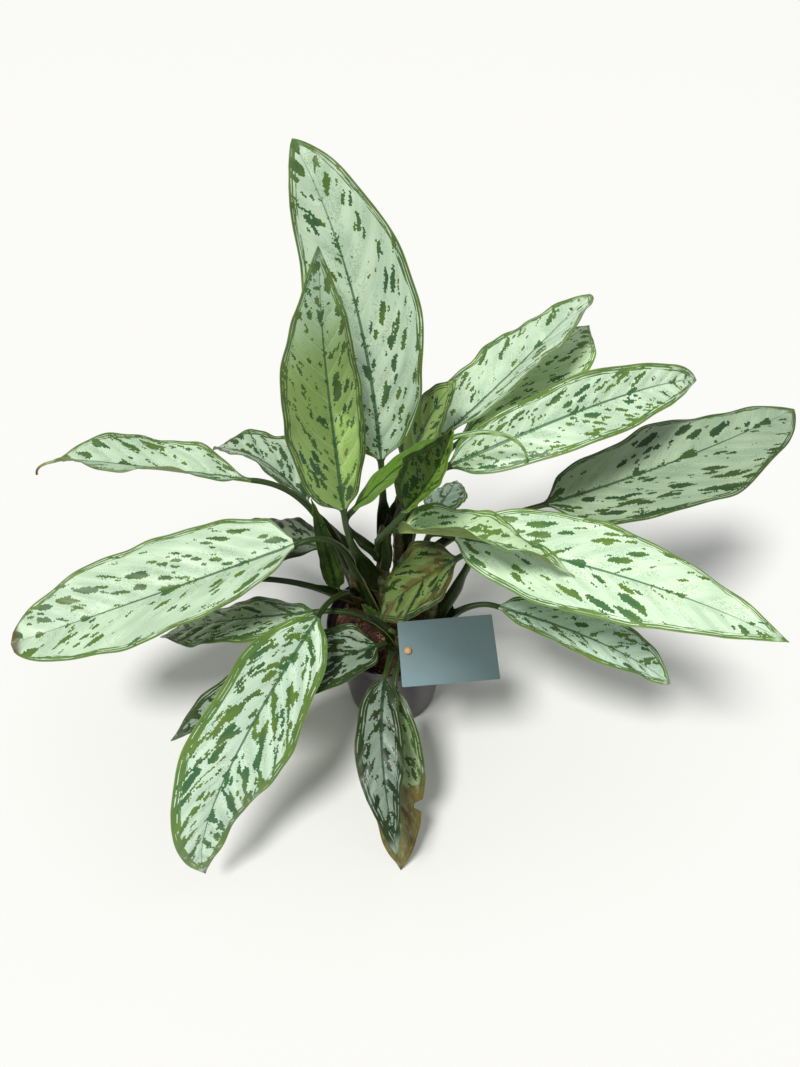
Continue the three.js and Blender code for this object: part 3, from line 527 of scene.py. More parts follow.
def leaf_patches(leaf, u, s):
    """How much yellower, darker, more withered and bluer some blades are in parts, some of it
    painted light and painted shade.
    """
    yellow, shade, aged, blue = np.zeros((4, len(u), len(s)))
    u = u[:, None]
    s = s[None, :]
    if leaf.name == "leaf_upright_young":  # painted light: a sunlit patch low on its right half, yellower, paler and with a little of the withered colour
        lit = smoothstep(u, 0.12, 0.16) * (1 - smoothstep(u + 0.1 * s**2, 0.40, 0.43))
        lit = lit * smoothstep(-s, 0.08, 0.12) * (1 - smoothstep(-s, 0.74, 0.78))
        yellow += 0.8 * (1 - smoothstep(u, 0.55, 0.95))
        shade -= 0.4 * lit + 0.3 * smoothstep(u, 0.6, 0.85)
        aged += 0.3 * lit
    if leaf.name == "leaf_young_rolled":  # its thin tail is pale
        tail = smoothstep(u, 0.54, 0.66)
        yellow += 0.4 * tail
        shade -= 0.45 * tail
        blue += tail
    if leaf.name == "leaf_left_upper":  # its tail is withered
        aged += 0.8 * smoothstep(u, 0.86, 0.93)
    if leaf.name == "leaf_young_dark":  # painted shade on its left half, and painted light, yellower, on its right one, which is turned up
        turned = 1 - smoothstep(s, -0.1, 0.1)
        shade += lerp(0.35, -0.25, turned)
        yellow += 0.3 * turned
    if leaf.name == "leaf_front_old":  # withers from the tip
        withered = smoothstep(u, 0.4, 0.6)
        aged += 0.9 * withered
        yellow -= 0.3 * withered
    return np.stack([yellow, shade, aged], -1), blue


def leaf_layers(leaf, seed, u, s, across, from_edge, stalk_marks):
    """What the finishes read from a leaf's skin. place: along, across and in from the margin,
    in mm. blade: share of its length, below 0 on the stalk, share of its half width, and its
    width. tint: yellow, shade and aged. marking: spots, bands and blue."""
    stalk = slice(len(stalk_marks))
    flat = slice(len(stalk_marks), None)
    shape = (len(stalk_marks) + len(u), 2, BLADE_COLUMNS, 3)
    place, blade, tint, marking = (np.zeros(shape) for _ in range(4))
    stalk_length, stalk_half = STALK_PATTERN
    offset = PATTERN_STRIDE * seed
    place[stalk, ..., 0] = (stalk_marks * stalk_length)[:, None, None] + offset
    place[stalk, ..., 1] = s * stalk_half
    place[stalk, ..., 2] = OFF_THE_BLADE
    place[flat, ..., 0] = (u * leaf.length)[:, None, None] + offset
    place[flat, ..., 1] = across[:, None, :]
    place[flat, ..., 2] = from_edge[:, None, :]
    blade[stalk, ..., 0] = (stalk_marks - 1)[:, None, None]
    blade[flat, ..., 0] = u[:, None, None]
    blade[..., 1] = s
    blade[..., 2] = leaf.width
    tint_patches, blue_patches = leaf_patches(leaf, u, s)
    tint[...] = (leaf.yellow, leaf.shade, leaf.aged)
    tint[flat] += tint_patches[:, None]
    marking[...] = (leaf.spots, leaf.bands, leaf.blue)
    marking[flat, ..., 2] += blue_patches[:, None]
    return {"place": place, "blade": blade, "tint": tint, "marking": marking}


def leaf_faces(rows, first_blade_row):
    """Faces of a closed skin through rows of top and bottom points, and the finish of each."""
    at = np.arange(rows * 2 * BLADE_COLUMNS).reshape(rows, 2, BLADE_COLUMNS)
    upper, lower = at[:, 0], at[:, 1]
    strips = [
        (upper[:-1, :-1], upper[1:, :-1], upper[1:, 1:], upper[:-1, 1:]),
        (lower[:-1, :-1], lower[:-1, 1:], lower[1:, 1:], lower[1:, :-1]),
        (lower[:-1, 0], lower[1:, 0], upper[1:, 0], upper[:-1, 0]),
        (upper[:-1, -1], upper[1:, -1], lower[1:, -1], lower[:-1, -1]),
    ]
    faces, skins = [], []
    for strip, skin in zip(strips, (BLADE_SKIN, UNDER_SKIN, BLADE_SKIN, BLADE_SKIN)):
        quads = np.stack([corner.ravel() for corner in strip], -1)
        row = quads[:, 0] // (2 * BLADE_COLUMNS)
        faces += quads.tolist()
        skins.append(np.where(row >= first_blade_row, skin, STALK_SKIN))
    foot_cap = lower[0].tolist() + upper[0][::-1].tolist()
    tip_cap = upper[-1].tolist() + lower[-1][::-1].tolist()
    return faces + [foot_cap, tip_cap], np.concatenate([*skins, [STALK_SKIN, BLADE_SKIN]])


def leaf_piece(leaf, seed, finishes):
    """A whole leaf: clasping foot, sheath, stalk and blade in one closed skin."""
    s = np.linspace(-1, 1, BLADE_COLUMNS)
    u = np.linspace(0, 1, BLADE_ROWS) ** ROW_CROWDING
    across, lift, from_edge = blade_top(leaf, u, s)
    blade = blade_sections(leaf, u, (across, lift), blade_bottom(leaf, u, across, lift))
    stalk, stalk_marks = stalk_sections(leaf)
    points = np.concatenate([stalk, blade])
    faces, skins = leaf_faces(len(points), len(stalk) + 2)
    mesh = bpy.data.meshes.new(leaf.name)
    mesh.from_pydata((points.reshape(-1, 3) * MM).tolist(), [], faces)
    mesh.polygons.foreach_set("material_index", skins.astype(np.int32))
    layers = leaf_layers(leaf, seed, u, s, across, from_edge, stalk_marks)
    for name, values in layers.items():
        layer = mesh.attributes.new(name, "FLOAT_VECTOR", "POINT")
        layer.data.foreach_set("vector", values.reshape(-1).astype(np.float32))
    return new_piece("grown_" + leaf.name, mesh, *finishes, sharp=SHARP_LEAF_EDGE)


# ---- Materials ------------------------------------------------------------------------------
class Paint:
    """Puts a material together. Its methods add nodes and give back their outputs."""

    def __init__(self, name):
        self.material = bpy.data.materials.new(name)
        self.material.use_nodes = True
        self.tree = self.material.node_tree
        self.tree.nodes.clear()

    def put(self, socket, value):
        if isinstance(value, bpy.types.NodeSocket):
            self.tree.links.new(value, socket)
        elif socket.type == "RGBA" and len(value) == 3:
            socket.default_value = (*value, 1)
        else:
            socket.default_value = value

    def node(self, kind, inputs=(), **settings):
        made = self.tree.nodes.new("ShaderNode" + kind)
        for key, value in settings.items():
            setattr(made, key, value)
        for key, value in dict(inputs).items():
            self.put(made.inputs[key], value)
        return made

    def mark(self, name):
        """The three numbers that a piece's mesh carries under a name."""
        return self.split(self.node("Attribute", attribute_name=name).outputs["Vector"])

    def place(self):
        """Where a point is on its piece, in metres."""
        return self.node("TexCoord").outputs["Object"]

    def stretched(self, share):
        """The place on the piece, with patterns 1 / share times as long along Z."""
        mapping = self.node("Mapping", {"Vector": self.place(), "Scale": (1, 1, share)})
        return mapping.outputs[0]

    def split(self, vector):
        return self.node("SeparateXYZ", {0: vector}).outputs[:]

    def join(self, x, y, z=0.0):
        return self.node("CombineXYZ", {0: x, 1: y, 2: z}).outputs[0]

    def math(self, operation, a, b=0.0, c=0.0):
        return self.node("Math", {0: a, 1: b, 2: c}, operation=operation).outputs[0]

    def times(self, a, b):
        return self.math("MULTIPLY", a, b)

    def over(self, a, b):
        return self.math("DIVIDE", a, b)

    def plus(self, a, b):
        return self.math("ADD", a, b)

    def minus(self, a, b):
        return self.math("SUBTRACT", a, b)

    def without(self, share):
        """What a share leaves: 1 where it is 0, and 0 where it is 1."""
        return self.minus(1.0, share)

    def unsigned(self, value):
        return self.math("ABSOLUTE", value)

    def larger(self, *values):
        result = values[0]
        for value in values[1:]:
            result = self.math("MAXIMUM", result, value)
        return result

    def step(self, value, low, high):
        """0 below low, 1 above high, smooth between."""
        return self.node("MapRange", {0: value, 1: low, 2: high},
                         interpolation_type="SMOOTHSTEP").outputs[0]

    def curve(self, value, stops):
        """A number that follows straight lines through (value, result) stops, from 0 to 1."""
        ramp = self.node("ValToRGB", {0: value})
        bands = ramp.color_ramp.elements
        while len(bands) < len(stops):
            bands.new(0.5)
        for band, (at, result) in zip(bands, stops):
            band.position = at
            band.color = (result, result, result, 1)
        return ramp.outputs[0]

    def spread(self, a, wide, b, long, layer=0.0):
        """A place in a pattern whose bits are wide along a and long along b. Two patterns of
        the same kind get different layers, so that they aren't alike."""
        return self.join(self.times(a, 1 / wide), self.times(b, 1 / long), layer)

    def noise(self, vector, scale=1.0, detail=2.0, roughness=0.5):
        return self.node("TexNoise", {
            "Vector": vector, "Scale": scale, "Detail": detail,
            "Roughness": roughness}).outputs[0]

    def cells(self, vector, scale=1.0, **settings):
        return self.node("TexVoronoi", {"Vector": vector, "Scale": scale}, **settings).outputs

    def mix(self, share, a, b, blend="MIX"):
        made = self.node("Mix", data_type="RGBA", blend_type=blend)
        self.put(made.inputs[0], share)
        self.put(made.inputs[6], a)
        self.put(made.inputs[7], b)
        return made.outputs[2]

    def tinged(self, mask, strength, colour, tinge):
        """The colour, turned towards the tinge by a strength where the mask is 1."""
        return self.mix(self.times(mask, strength), colour, tinge)

    def bump(self, height, strength, distance):
        return self.node("Bump", {
            "Height": height, "Strength": strength, "Distance": distance}).outputs[0]

    def done(self, **inputs):
        """Principled shader with those inputs; returns the material."""
        shader = self.node("BsdfPrincipled")
        for key, value in inputs.items():
            self.put(shader.inputs[key.replace("_", " ").title().replace("Ior", "IOR")], value)
        output = self.node("OutputMaterial")
        self.tree.links.new(shader.outputs[0], output.inputs[0])
        return self.material


TOOTH = 1.1  # markings have ragged outlines, with steps of this size
USUAL_WIDTH = 85  # blotches have their usual size on a blade as wide as this
LEAST_SCALE = 0.66  # and on narrow blades they don't get smaller than this share of it
LARGE_BLOTCHES = (18, 10.5)  # room for one, along the midrib and across it
SMALL_BLOTCHES = (8, 5)
SMALL_SHIFT = 51  # so that small blotches don't follow the large ones
MARGIN_WIDTH = 7  # of the streaks along a margin
BANDED_MARGIN = 4  # how much wider they lie on a blade full of bands
STREAK_WIDTH = 1.15  # where the margin has its usual width
STREAK_LENGTH = 24
RIB_MARK = 2.2  # half width of the dark line on the midrib, at the base
TICK_REACH = 6  # how far the ticks at the midrib reach out
GRAIN = 0.9  # size of the specks of the dusting

SILVERS = ((0.64, 0.81, 0.59), (0.5, 0.67, 0.48))
BLUISH = (0.56, 0.76, 0.72)
YELLOWISH = (0.31, 0.5, 0.05)
FIBRE = (0.34, 0.47, 0.28)
# pale colour of the side veins, partly their own and partly a painted highlight on their creases
VEIN = (0.9, 0.98, 0.86)
GREENS = ((0.045, 0.135, 0.05), (0.12, 0.21, 0.035))
DEEP_GREENS = ((0.018, 0.065, 0.008), (0.03, 0.085, 0.008))
# painted shade: the deep green that markings take on a shaded blade
SHADED_GREEN = (0.008, 0.03, 0.006)
STREAK_GREEN = (0.15, 0.25, 0.045)
EDGE_GREEN = (0.2, 0.29, 0.07)
WITHERED = ((0.27, 0.23, 0.03), (0.22, 0.13, 0.04))
FRESH_TIP, DRY_TIP = (0.09, 0.19, 0.03), (0.12, 0.08, 0.022)
FLESH = dict(  # how light goes through a leaf
    subsurface_weight=0.1, subsurface_radius=(0.8, 1.0, 0.3), subsurface_scale=0.0012)


def side_vein(paint, along, across, width):
    """The same measure as vein_place, for the materials."""
    out = paint.unsigned(across)
    cubed = paint.times(out, paint.times(out, out))
    bend = paint.over(paint.times(cubed, VEIN_BEND), paint.times(width, width))
    return paint.minus(paint.minus(along, paint.times(out, VEIN_SLANT)), bend)


def blotches(paint, vein, across, half, spots, scale, room, share):
    """Blunt islands that lie along the side veins, most of them halfway out. room: the place
    for one, along the midrib and across it. share: how many are there before spots adds any."""
    vein, across, half = (paint.over(measure, scale) for measure in (vein, across, half))
    wide, long = room
    seats = paint.cells(paint.spread(vein, wide, across, long), voronoi_dimensions="2D")
    seat_out = paint.unsigned(paint.times(paint.split(seats["Position"])[1], long))
    group = paint.noise(paint.spread(vein, 38, across, 30, 6.6))
    bigness, chance, _ = paint.split(seats["Color"])
    density = paint.curve(paint.over(seat_out, half), [
        (0, 0.3), (0.2, 0.45), (0.45, 1), (0.75, 0.9), (0.95, 0.6)])
    density = paint.times(density, paint.plus(spots, share))
    density = paint.times(density, paint.plus(paint.step(group, 0.38, 0.62), 0.5))
    present = paint.step(paint.minus(density, chance), 0, 0.001)
    ragged = paint.noise(paint.spread(vein, 5, across, 5))
    radius = paint.math("MULTIPLY_ADD", bigness, 0.32, 0.15)
    distance = paint.math("MULTIPLY_ADD", paint.minus(ragged, 0.5), 0.42, seats["Distance"])
    return paint.times(present, paint.step(paint.minus(radius, distance), 0, 0.01))


def vein_bands(paint, vein, across, bands):
    """Dark bands along the side veins, which sway and break off."""
    sway = paint.noise(paint.spread(vein, 13, across, 10))
    turn = paint.plus(paint.times(vein, 2 * math.pi / BAND_SPACING), paint.times(sway, 8))
    gaps = paint.noise(paint.spread(vein, 9, across, 11, 4))
    level = paint.plus(paint.times(paint.minus(gaps, 0.5), 6),
                       paint.minus(1.6, paint.times(bands, 1.35)))
    return paint.step(paint.minus(paint.math("SINE", turn), level), -0.01, 0.01)


def margin_streaks(paint, along, from_edge, half, spots, bands):
    """Dark streaks that run along the margins."""
    share = paint.over(from_edge, paint.math("MULTIPLY_ADD", bands, BANDED_MARGIN, MARGIN_WIDTH))
    streaks = paint.noise(
        paint.spread(along, STREAK_LENGTH, share, STREAK_WIDTH / MARGIN_WIDTH, 2.2),
        detail=2.5, roughness=0.6)
    level = paint.curve(share, [
        (0, 0.1), (0.16, 0.28), (0.24, 0.42), (0.3, 0.62), (0.36, 0.4), (0.5, 0.42),
        (0.58, 0.56), (0.66, 0.46), (0.85, 0.58), (1, 1)])
    level = paint.minus(level, paint.plus(paint.times(spots, 0.1), paint.times(bands, 0.08)))
    wide_enough = paint.step(half, 3, 7)
    return paint.times(paint.step(paint.minus(streaks, level), -0.008, 0.008), wide_enough)


def midrib_ticks(paint, along, vein, across, out, u):
    """Short dark ticks that leave the midrib, in runs."""
    ticks = paint.noise(paint.spread(vein, 1.7, across, 8, 7.7))
    runs = paint.noise(paint.join(paint.times(along, 1 / 19), 0.0, 5.5))
    level = paint.plus(
        paint.curve(paint.times(out, 1 / TICK_REACH), [(0, 0.54), (0.4, 0.63), (1, 0.9)]),
        paint.minus(paint.times(u, 0.2), paint.times(paint.minus(runs, 0.45), 0.7)))
    return paint.step(paint.minus(ticks, level), -0.004, 0.004)


def dusting(paint, along, vein, across, out, half):
    """Fine specks, in clouds, most of them near the midrib."""
    grains = paint.cells(paint.spread(along, GRAIN, across, GRAIN), voronoi_dimensions="2D")
    chance = paint.split(grains["Color"])[0]
    cloud = paint.noise(paint.spread(vein, 17, across, 13, 3.1))
    inner = paint.curve(paint.over(out, half), [(0, 0.1), (0.3, 0.06), (0.6, 0), (1, 0)])
    share = paint.times(paint.step(paint.plus(cloud, inner), 0.5, 0.72), 0.5)
    return paint.times(paint.step(paint.minus(share, chance), 0, 0.01),
                       paint.without(paint.step(grains["Distance"], 0.3, 0.4)))


def leaf_pattern(paint):
    """The dark markings of a blade, and the measures that the finishes are made from."""
    along, across, from_edge = paint.mark("place")
    u, _, width = paint.mark("blade")
    yellow, shade, aged = paint.mark("tint")
    spots, bands, blue = paint.mark("marking")
    out = paint.unsigned(across)
    vein = side_vein(paint, along, across, width)
    half = paint.plus(out, from_edge)
    steps = paint.cells(
        paint.spread(along, TOOTH, across, TOOTH), voronoi_dimensions="2D")["Position"]
    step_along, step_across = (paint.times(step, TOOTH) for step in paint.split(steps)[:2])
    step_vein = side_vein(paint, step_along, step_across, width)

    scale = paint.larger(paint.times(width, 1 / USUAL_WIDTH), LEAST_SCALE)
    large = blotches(
        paint, step_vein, step_across, half, spots, scale, LARGE_BLOTCHES, 0.5)
    small = blotches(
        paint, paint.plus(step_vein, SMALL_SHIFT), step_across, half, spots, scale,
        SMALL_BLOTCHES, 0.2)
    band = vein_bands(paint, step_vein, step_across, bands)
    margin = margin_streaks(paint, along, from_edge, half, spots, bands)
    tick = midrib_ticks(paint, along, step_vein, step_across, out, u)

    rib_half = paint.times(
        paint.curve(u, [(0, 1), (0.15, 0.8), (0.5, 0.5), (0.9, 0.22), (1, 0.1)]), RIB_MARK)
    rib = paint.without(paint.step(out, paint.times(rib_half, 0.75), rib_half))
    rib = paint.times(rib, paint.without(paint.times(paint.step(u, 0.6, 0.98), 0.5)))
    return SimpleNamespace(
        marks=paint.larger(large, small, band, margin, tick), margin=margin, rib=rib,
        dust=dusting(paint, along, vein, across, out, half), vein=vein, across=across,
        out=out, from_edge=from_edge, u=u, yellow=yellow, shade=shade, aged=aged, blue=blue)


def soft(paint, leaf, wide, long, layer):
    """A slow change over the blade, from 0 to 1."""
    return paint.step(
        paint.noise(paint.spread(leaf.vein, wide, leaf.across, long, layer)), 0.33, 0.67)


def vein_lines(paint, leaf):
    """Thin lines along the side veins: 1 on a vein, 0 off it."""
    wave = paint.unsigned(paint.math("SINE", paint.times(leaf.vein, math.pi / VEIN_SPACING)))
    return paint.without(paint.step(wave, 0.03, 0.11))


def fibre_lines(paint, leaf):
    """Fine fibres along the side veins."""
    return paint.noise(paint.spread(leaf.vein, 1.1, leaf.across, 13), detail=3)


def blade_finish(name, grounds, greens, pattern=1.0, lines=0.5, gloss=0.35):
    """The upper face of a blade: a ground of two colours, markings of two greens, thin pale lines
    on the veins that are partly painted highlight, fine fibres and a soft gloss, and over it all
    the tint's shade, partly the blade's own tone and partly painted shade and painted light.
    pattern
    and lines: how strong those are."""
    paint = Paint(name)
    leaf = leaf_pattern(paint)
    fibres = fibre_lines(paint, leaf)
    ground = paint.mix(soft(paint, leaf, 26, 20, 1.3), *grounds)
    ground = paint.tinged(leaf.blue, 0.7, ground, BLUISH)
    ground = paint.mix(leaf.yellow, ground, YELLOWISH)
    ground = paint.tinged(paint.step(fibres, 0.3, 0.75), 0.22, ground, FIBRE)
    ground = paint.tinged(leaf.dust, 0.55, ground, greens[0])
    # pale lines on the side veins: partly the veins' own colour, partly a painted highlight on
    # their creases
    pale_vein_and_highlight = paint.mix(0.5, ground, VEIN)
    ground = paint.tinged(vein_lines(paint, leaf), lines, ground, pale_vein_and_highlight)
    green = paint.mix(soft(paint, leaf, 18, 16, 9.4), *greens)
    green = paint.tinged(leaf.margin, 0.45, green, STREAK_GREEN)
    # painted shade: markings turn a deeper green on a blade with more shade
    green = paint.mix(leaf.shade, green, SHADED_GREEN)
    colour = paint.tinged(leaf.marks, pattern, ground, green)
    edge = paint.without(paint.step(leaf.from_edge, 0.35, 0.8))
    colour = paint.tinged(edge, 0.7, colour, EDGE_GREEN)
    colour = paint.tinged(leaf.rib, 0.85, colour, greens[0])
    uneven = paint.times(paint.minus(soft(paint, leaf, 24, 12, 4.4), 0.5), 0.4)
    fade = paint.step(paint.plus(leaf.aged, uneven), 0.4, 0.7)
    withered = paint.mix(soft(paint, leaf, 9, 6, 8.1), *WITHERED)
    colour = paint.tinged(fade, 0.8, colour, withered)
    tip = paint.mix(paint.step(leaf.aged, 0.05, 0.12), FRESH_TIP, DRY_TIP)
    colour = paint.tinged(paint.step(leaf.u, 0.96, 0.985), 0.85, colour, tip)
    # painted shade and painted light: the colour is multiplied by 1 - shade, partly for the
    # blade's own tone
    light = paint.without(leaf.shade)
    colour = paint.mix(1.0, colour, paint.join(light, light, light), "MULTIPLY")
    return paint.done(base_color=colour, roughness=0.42, normal=paint.bump(fibres, 0.2, 0.0005),
                      specular_ior_level=gloss, **FLESH)


def under_finish(name, base, vein_colour):
    """The lower face of a blade: duller, with its midrib and veins standing out."""
    paint = Paint(name)
    leaf = leaf_pattern(paint)
    rib = paint.without(paint.step(leaf.out, 0.8, 2.2))
    net = paint.larger(rib, paint.times(vein_lines(paint, leaf), 0.4))
    shadow = tuple(0.55 * c for c in base)
    colour = paint.tinged(leaf.marks, 0.6, base, shadow)
    colour = paint.tinged(fibre_lines(paint, leaf), 0.3, colour, shadow)
    colour = paint.mix(net, colour, vein_colour)
    return paint.done(base_color=colour, roughness=0.55, normal=paint.bump(net, 0.3, 0.0006),
                      **FLESH)


def stalk_finish(name, dark, light):
    """Sheath and stalk: lengthwise streaks, darker and duller towards the cane."""
    paint = Paint(name)
    along, across, _ = paint.mark("place")
    u, s, _ = paint.mark("blade")
    streaks = paint.noise(paint.spread(along, 60, across, 0.7), detail=3)
    patches = paint.noise(paint.spread(along, 22, across, 3, 5.0), detail=2)
    share = paint.plus(paint.times(paint.step(streaks, 0.3, 0.7), 0.5),
                       paint.times(paint.step(u, -0.7, 0.0), 0.5))
    colour = paint.mix(share, dark, light)
    colour = paint.tinged(paint.step(patches, 0.55, 0.7), 0.35, colour, (0.16, 0.13, 0.035))
    low = paint.without(paint.step(u, -0.7, -0.5))
    wing = paint.times(paint.step(paint.unsigned(s), 0.86, 0.99), low)
    colour = paint.tinged(wing, 0.6, colour, (0.24, 0.22, 0.09))
    return paint.done(base_color=colour, roughness=0.36, specular_ior_level=0.35,
                      normal=paint.bump(streaks, 0.25, 0.0005))


def cane_finish():
    """Skin of the canes: lengthwise streaks, brown patches and a pale scar at each ring."""
    paint = Paint("cane_skin")
    place = paint.place()
    height = paint.split(place)[2]
    rings = paint.unsigned(paint.math("SINE", paint.times(height, math.pi / (RING_SPACING * MM))))
    scar = paint.without(paint.step(rings, 0.06, 0.22))
    streaks = paint.noise(paint.stretched(0.12), 900, detail=4)
    patches = paint.noise(place, 90, detail=3)
    colour = paint.mix(paint.step(streaks, 0.35, 0.7), (0.024, 0.034, 0.008), (0.085, 0.1, 0.025))
    colour = paint.tinged(paint.step(patches, 0.5, 0.66), 0.6, colour, (0.12, 0.075, 0.03))
    colour = paint.tinged(scar, 0.7, colour, (0.2, 0.15, 0.08))
    return paint.done(base_color=colour, roughness=0.5, normal=paint.bump(streaks, 0.3, 0.0006))


def pot_finish():
    """Dark plastic with a hint of violet, uneven in gloss and a little dusty."""
    paint = Paint("pot_plastic")
    place = paint.place()
    grain = paint.noise(place, 1400, detail=2)
    smear = paint.noise(place, 26, detail=3)
    dust = paint.step(paint.noise(place, 60, detail=5, roughness=0.65), 0.5, 0.75)
    colour = paint.mix(paint.step(smear, 0.35, 0.7), (0.022, 0.015, 0.023), (0.04, 0.028, 0.04))
    colour = paint.tinged(dust, 0.16, colour, (0.2, 0.15, 0.13))
    rough = paint.plus(paint.times(dust, 0.15), paint.plus(paint.times(smear, 0.12), 0.24))
    return paint.done(base_color=colour, roughness=rough, normal=paint.bump(grain, 0.12, 0.0002))


def mix_finish(name, dark, light, pale, scale):
    """Potting mix and what lies in it, each bit a little different."""
    paint = Paint(name)
    place = paint.place()
    tone, rarity, _ = paint.split(paint.cells(place, scale)["Color"])
    grain = paint.noise(place, 3 * scale, detail=4, roughness=0.7)
    colour = paint.mix(paint.math("MULTIPLY_ADD", tone, 0.6, paint.times(grain, 0.4)), dark, light)
    colour = paint.mix(paint.step(rarity, 0.86, 0.9), colour, pale)
    return paint.done(base_color=colour, roughness=0.9, normal=paint.bump(grain, 0.6, 0.0012))


def card_finish():
    """Slate blue, paler towards one lower corner, with the tooth of coated card."""
    paint = Paint("card_slate")
    across, up, _ = paint.mark("sheet")
    shade = paint.plus(paint.times(across, 0.75), paint.times(up, 0.45))
    uneven = paint.minus(paint.noise(paint.join(across, up), 1.6, detail=1), 0.5)
    shade = paint.step(paint.plus(shade, paint.times(uneven, 0.35)), -0.1, 0.85)
    colour = paint.mix(shade, (0.15, 0.25, 0.275), (0.042, 0.083, 0.087))
    tooth = paint.noise(paint.place(), 2500, detail=2)
    return paint.done(base_color=colour, roughness=0.42, normal=paint.bump(tooth, 0.08, 0.0002),
                      coat_weight=0.15, coat_roughness=0.3)


def wood_finish():
    """Pale wood with its grain along the peg."""
    paint = Paint("peg_wood")
    grain = paint.noise(paint.stretched(0.2), 1300, detail=4, roughness=0.6)
    colour = paint.mix(paint.step(grain, 0.3, 0.7), (0.42, 0.22, 0.09), (0.66, 0.42, 0.21))
    return paint.done(base_color=colour, roughness=0.6, normal=paint.bump(grain, 0.3, 0.0004))


# ---- Pot, canes and potting mix -------------------------------------------------------------
POT_SIDES = 160
LIP_RADIUS = 0.8
DRILL_SIDES = 28
DRILL_LENGTH = 6 * POT_FLOOR

CANE_SIDES = 40
CANE_STEP = 1.0  # height from one loop of points to the next
CANE_END = 1.5  # how far below its top point a cane ends
CANE_SHOULDER = 26  # length over which a cane is rounded off to its top
SCAR_SWELLING = 0.5  # how far a leaf scar stands out
SCAR_PLACE, SCAR_WIDTH = 0.06, 0.07  # in its stretch of cane, as shares of the spacing
CANE_SLIMMING = 0.45  # how much thinner a stretch of cane gets up to the next scar
CANE_UNEVENNESS = 0.25

SOIL_SIDES = 120
SOIL_RINGS = 46
SOIL_RIM_GAP = 1.2  # between the potting mix and the pot, at its top
SOIL_WALL_GAP = 1.4  # and from SOIL_WALL_TOP down
SOIL_WALL_TOP = 70
SOIL_FLOOR_GAP = 1.2
SOIL_SINKING = 3  # how much lower the mix lies at the wall
SOIL_SHOULDER = 0.9  # share of its radius from which it sinks

CHIP_SIZE = (3.2, 1.9, 0.9)  # half its length, width and height
FIBRE_LENGTH = 17
FIBRE_RADIUS = 0.28
FIBRE_ROWS = 8
STREWN_SLOPE = 0.6  # bits lie only where the upward part of the normal is more than this


def pot_profile():
    """Radius and height along the pot's skin: under its floor, up, over the lip and back."""
    band = POT_HEIGHT - RIM_BAND_HEIGHT  # height of the band's lower edge
    base, neck, rim, wall = POT_BASE_RADIUS, POT_NECK_RADIUS, POT_RIM_RADIUS, POT_WALL
    outside = [
        (0, 0.0), (base - 4, 0.0), (base - 1.2, 0.4), (base - 0.3, 1.4), (base + 0.1, 3),
        (neck - 2.2, band - 14), (neck - 1.2, band - 12.6), (neck - 0.1, band - 0.8),
        (neck + 0.6, band - 0.1), (rim - 1, band), (rim - 0.2, band + 0.4), (rim, band + 1.2)]
    lip = [(rim - LIP_RADIUS + LIP_RADIUS * math.cos(a),
            POT_HEIGHT - LIP_RADIUS + LIP_RADIUS * math.sin(a))
           for a in np.linspace(0, math.pi, 9)]
    inside = [
        (rim - 1.7, POT_HEIGHT - 1.6), (rim - 2.0, band + wall + 1.2),
        (rim - 2.6, band + wall + 0.2), (neck - wall + 0.2, band - 0.2),
        (neck - wall - 0.2, band - 1.2), (base - wall, POT_FLOOR + 1.5),
        (base - wall - 1.2, POT_FLOOR), (0, POT_FLOOR)]
    return outside + lip + inside


def pot_piece(finish):
    """The nursery pot, with drain holes drilled through its floor."""
    pot = new_piece("nursery_pot", turned_mesh("nursery_pot", pot_profile(), POT_SIDES), finish)
    drills = bmesh.new()
    for place in circle(DRAIN_RING_RADIUS, DRAIN_HOLES):
        bmesh.ops.create_cone(
            drills, cap_ends=True, segments=DRILL_SIDES, radius1=DRAIN_HOLE_RADIUS * MM,
            radius2=DRAIN_HOLE_RADIUS * MM, depth=DRILL_LENGTH * MM,
            matrix=Matrix.Translation(Vector(place) * MM))
    drill = placed("drain_drills", mesh_from("drain_drills", drills))
    cut = pot.modifiers.new("drain_holes", "BOOLEAN")
    cut.operation, cut.object, cut.solver = "DIFFERENCE", drill, "EXACT"
    applied(pot)
    bpy.data.objects.remove(drill)
    pot.data.set_sharp_from_angle(angle=math.radians(SHARP_EDGE))
    return pot


def cane_piece(name, stem, finish):
    """A cane with swollen rings where leaves stood, rounded off at its top."""
    bottom = SOIL_TOP - STEM_DEPTH
    loops = []
    for height in np.arange(bottom, stem.top[2] - CANE_END, CANE_STEP):
        centre = stem_point(stem, height)
        stretch = (height - bottom) % RING_SPACING / RING_SPACING
        scar = SCAR_SWELLING * math.exp(-((stretch - SCAR_PLACE) / SCAR_WIDTH) ** 2)
        shoulder = math.sqrt(max(0.01, min(1, (stem.top[2] - height) / CANE_SHOULDER)))
        usual = (stem.radius + (scar - CANE_SLIMMING * stretch)) * shoulder
        loop = []
        for x, y, _ in circle(1, CANE_SIDES):
            uneven = CANE_UNEVENNESS * noise.noise(Vector((2 * x, 2 * y, height / 9)))
            radius = usual + uneven
            loop.append((centre.x + radius * x, centre.y + radius * y, height))
        loops.append(loop)
    return new_piece("grown_" + name, closed_mesh(name, loops), finish)


def soil_height(x, y):
    """Uneven top of the potting mix."""
    place = Vector((x, y, 0))
    heaps = 2.2 * noise.noise(place / 19)
    crumbs = 1.1 * noise.noise(place / 6 + Vector((9, 2, 0)))
    return SOIL_TOP + heaps + crumbs


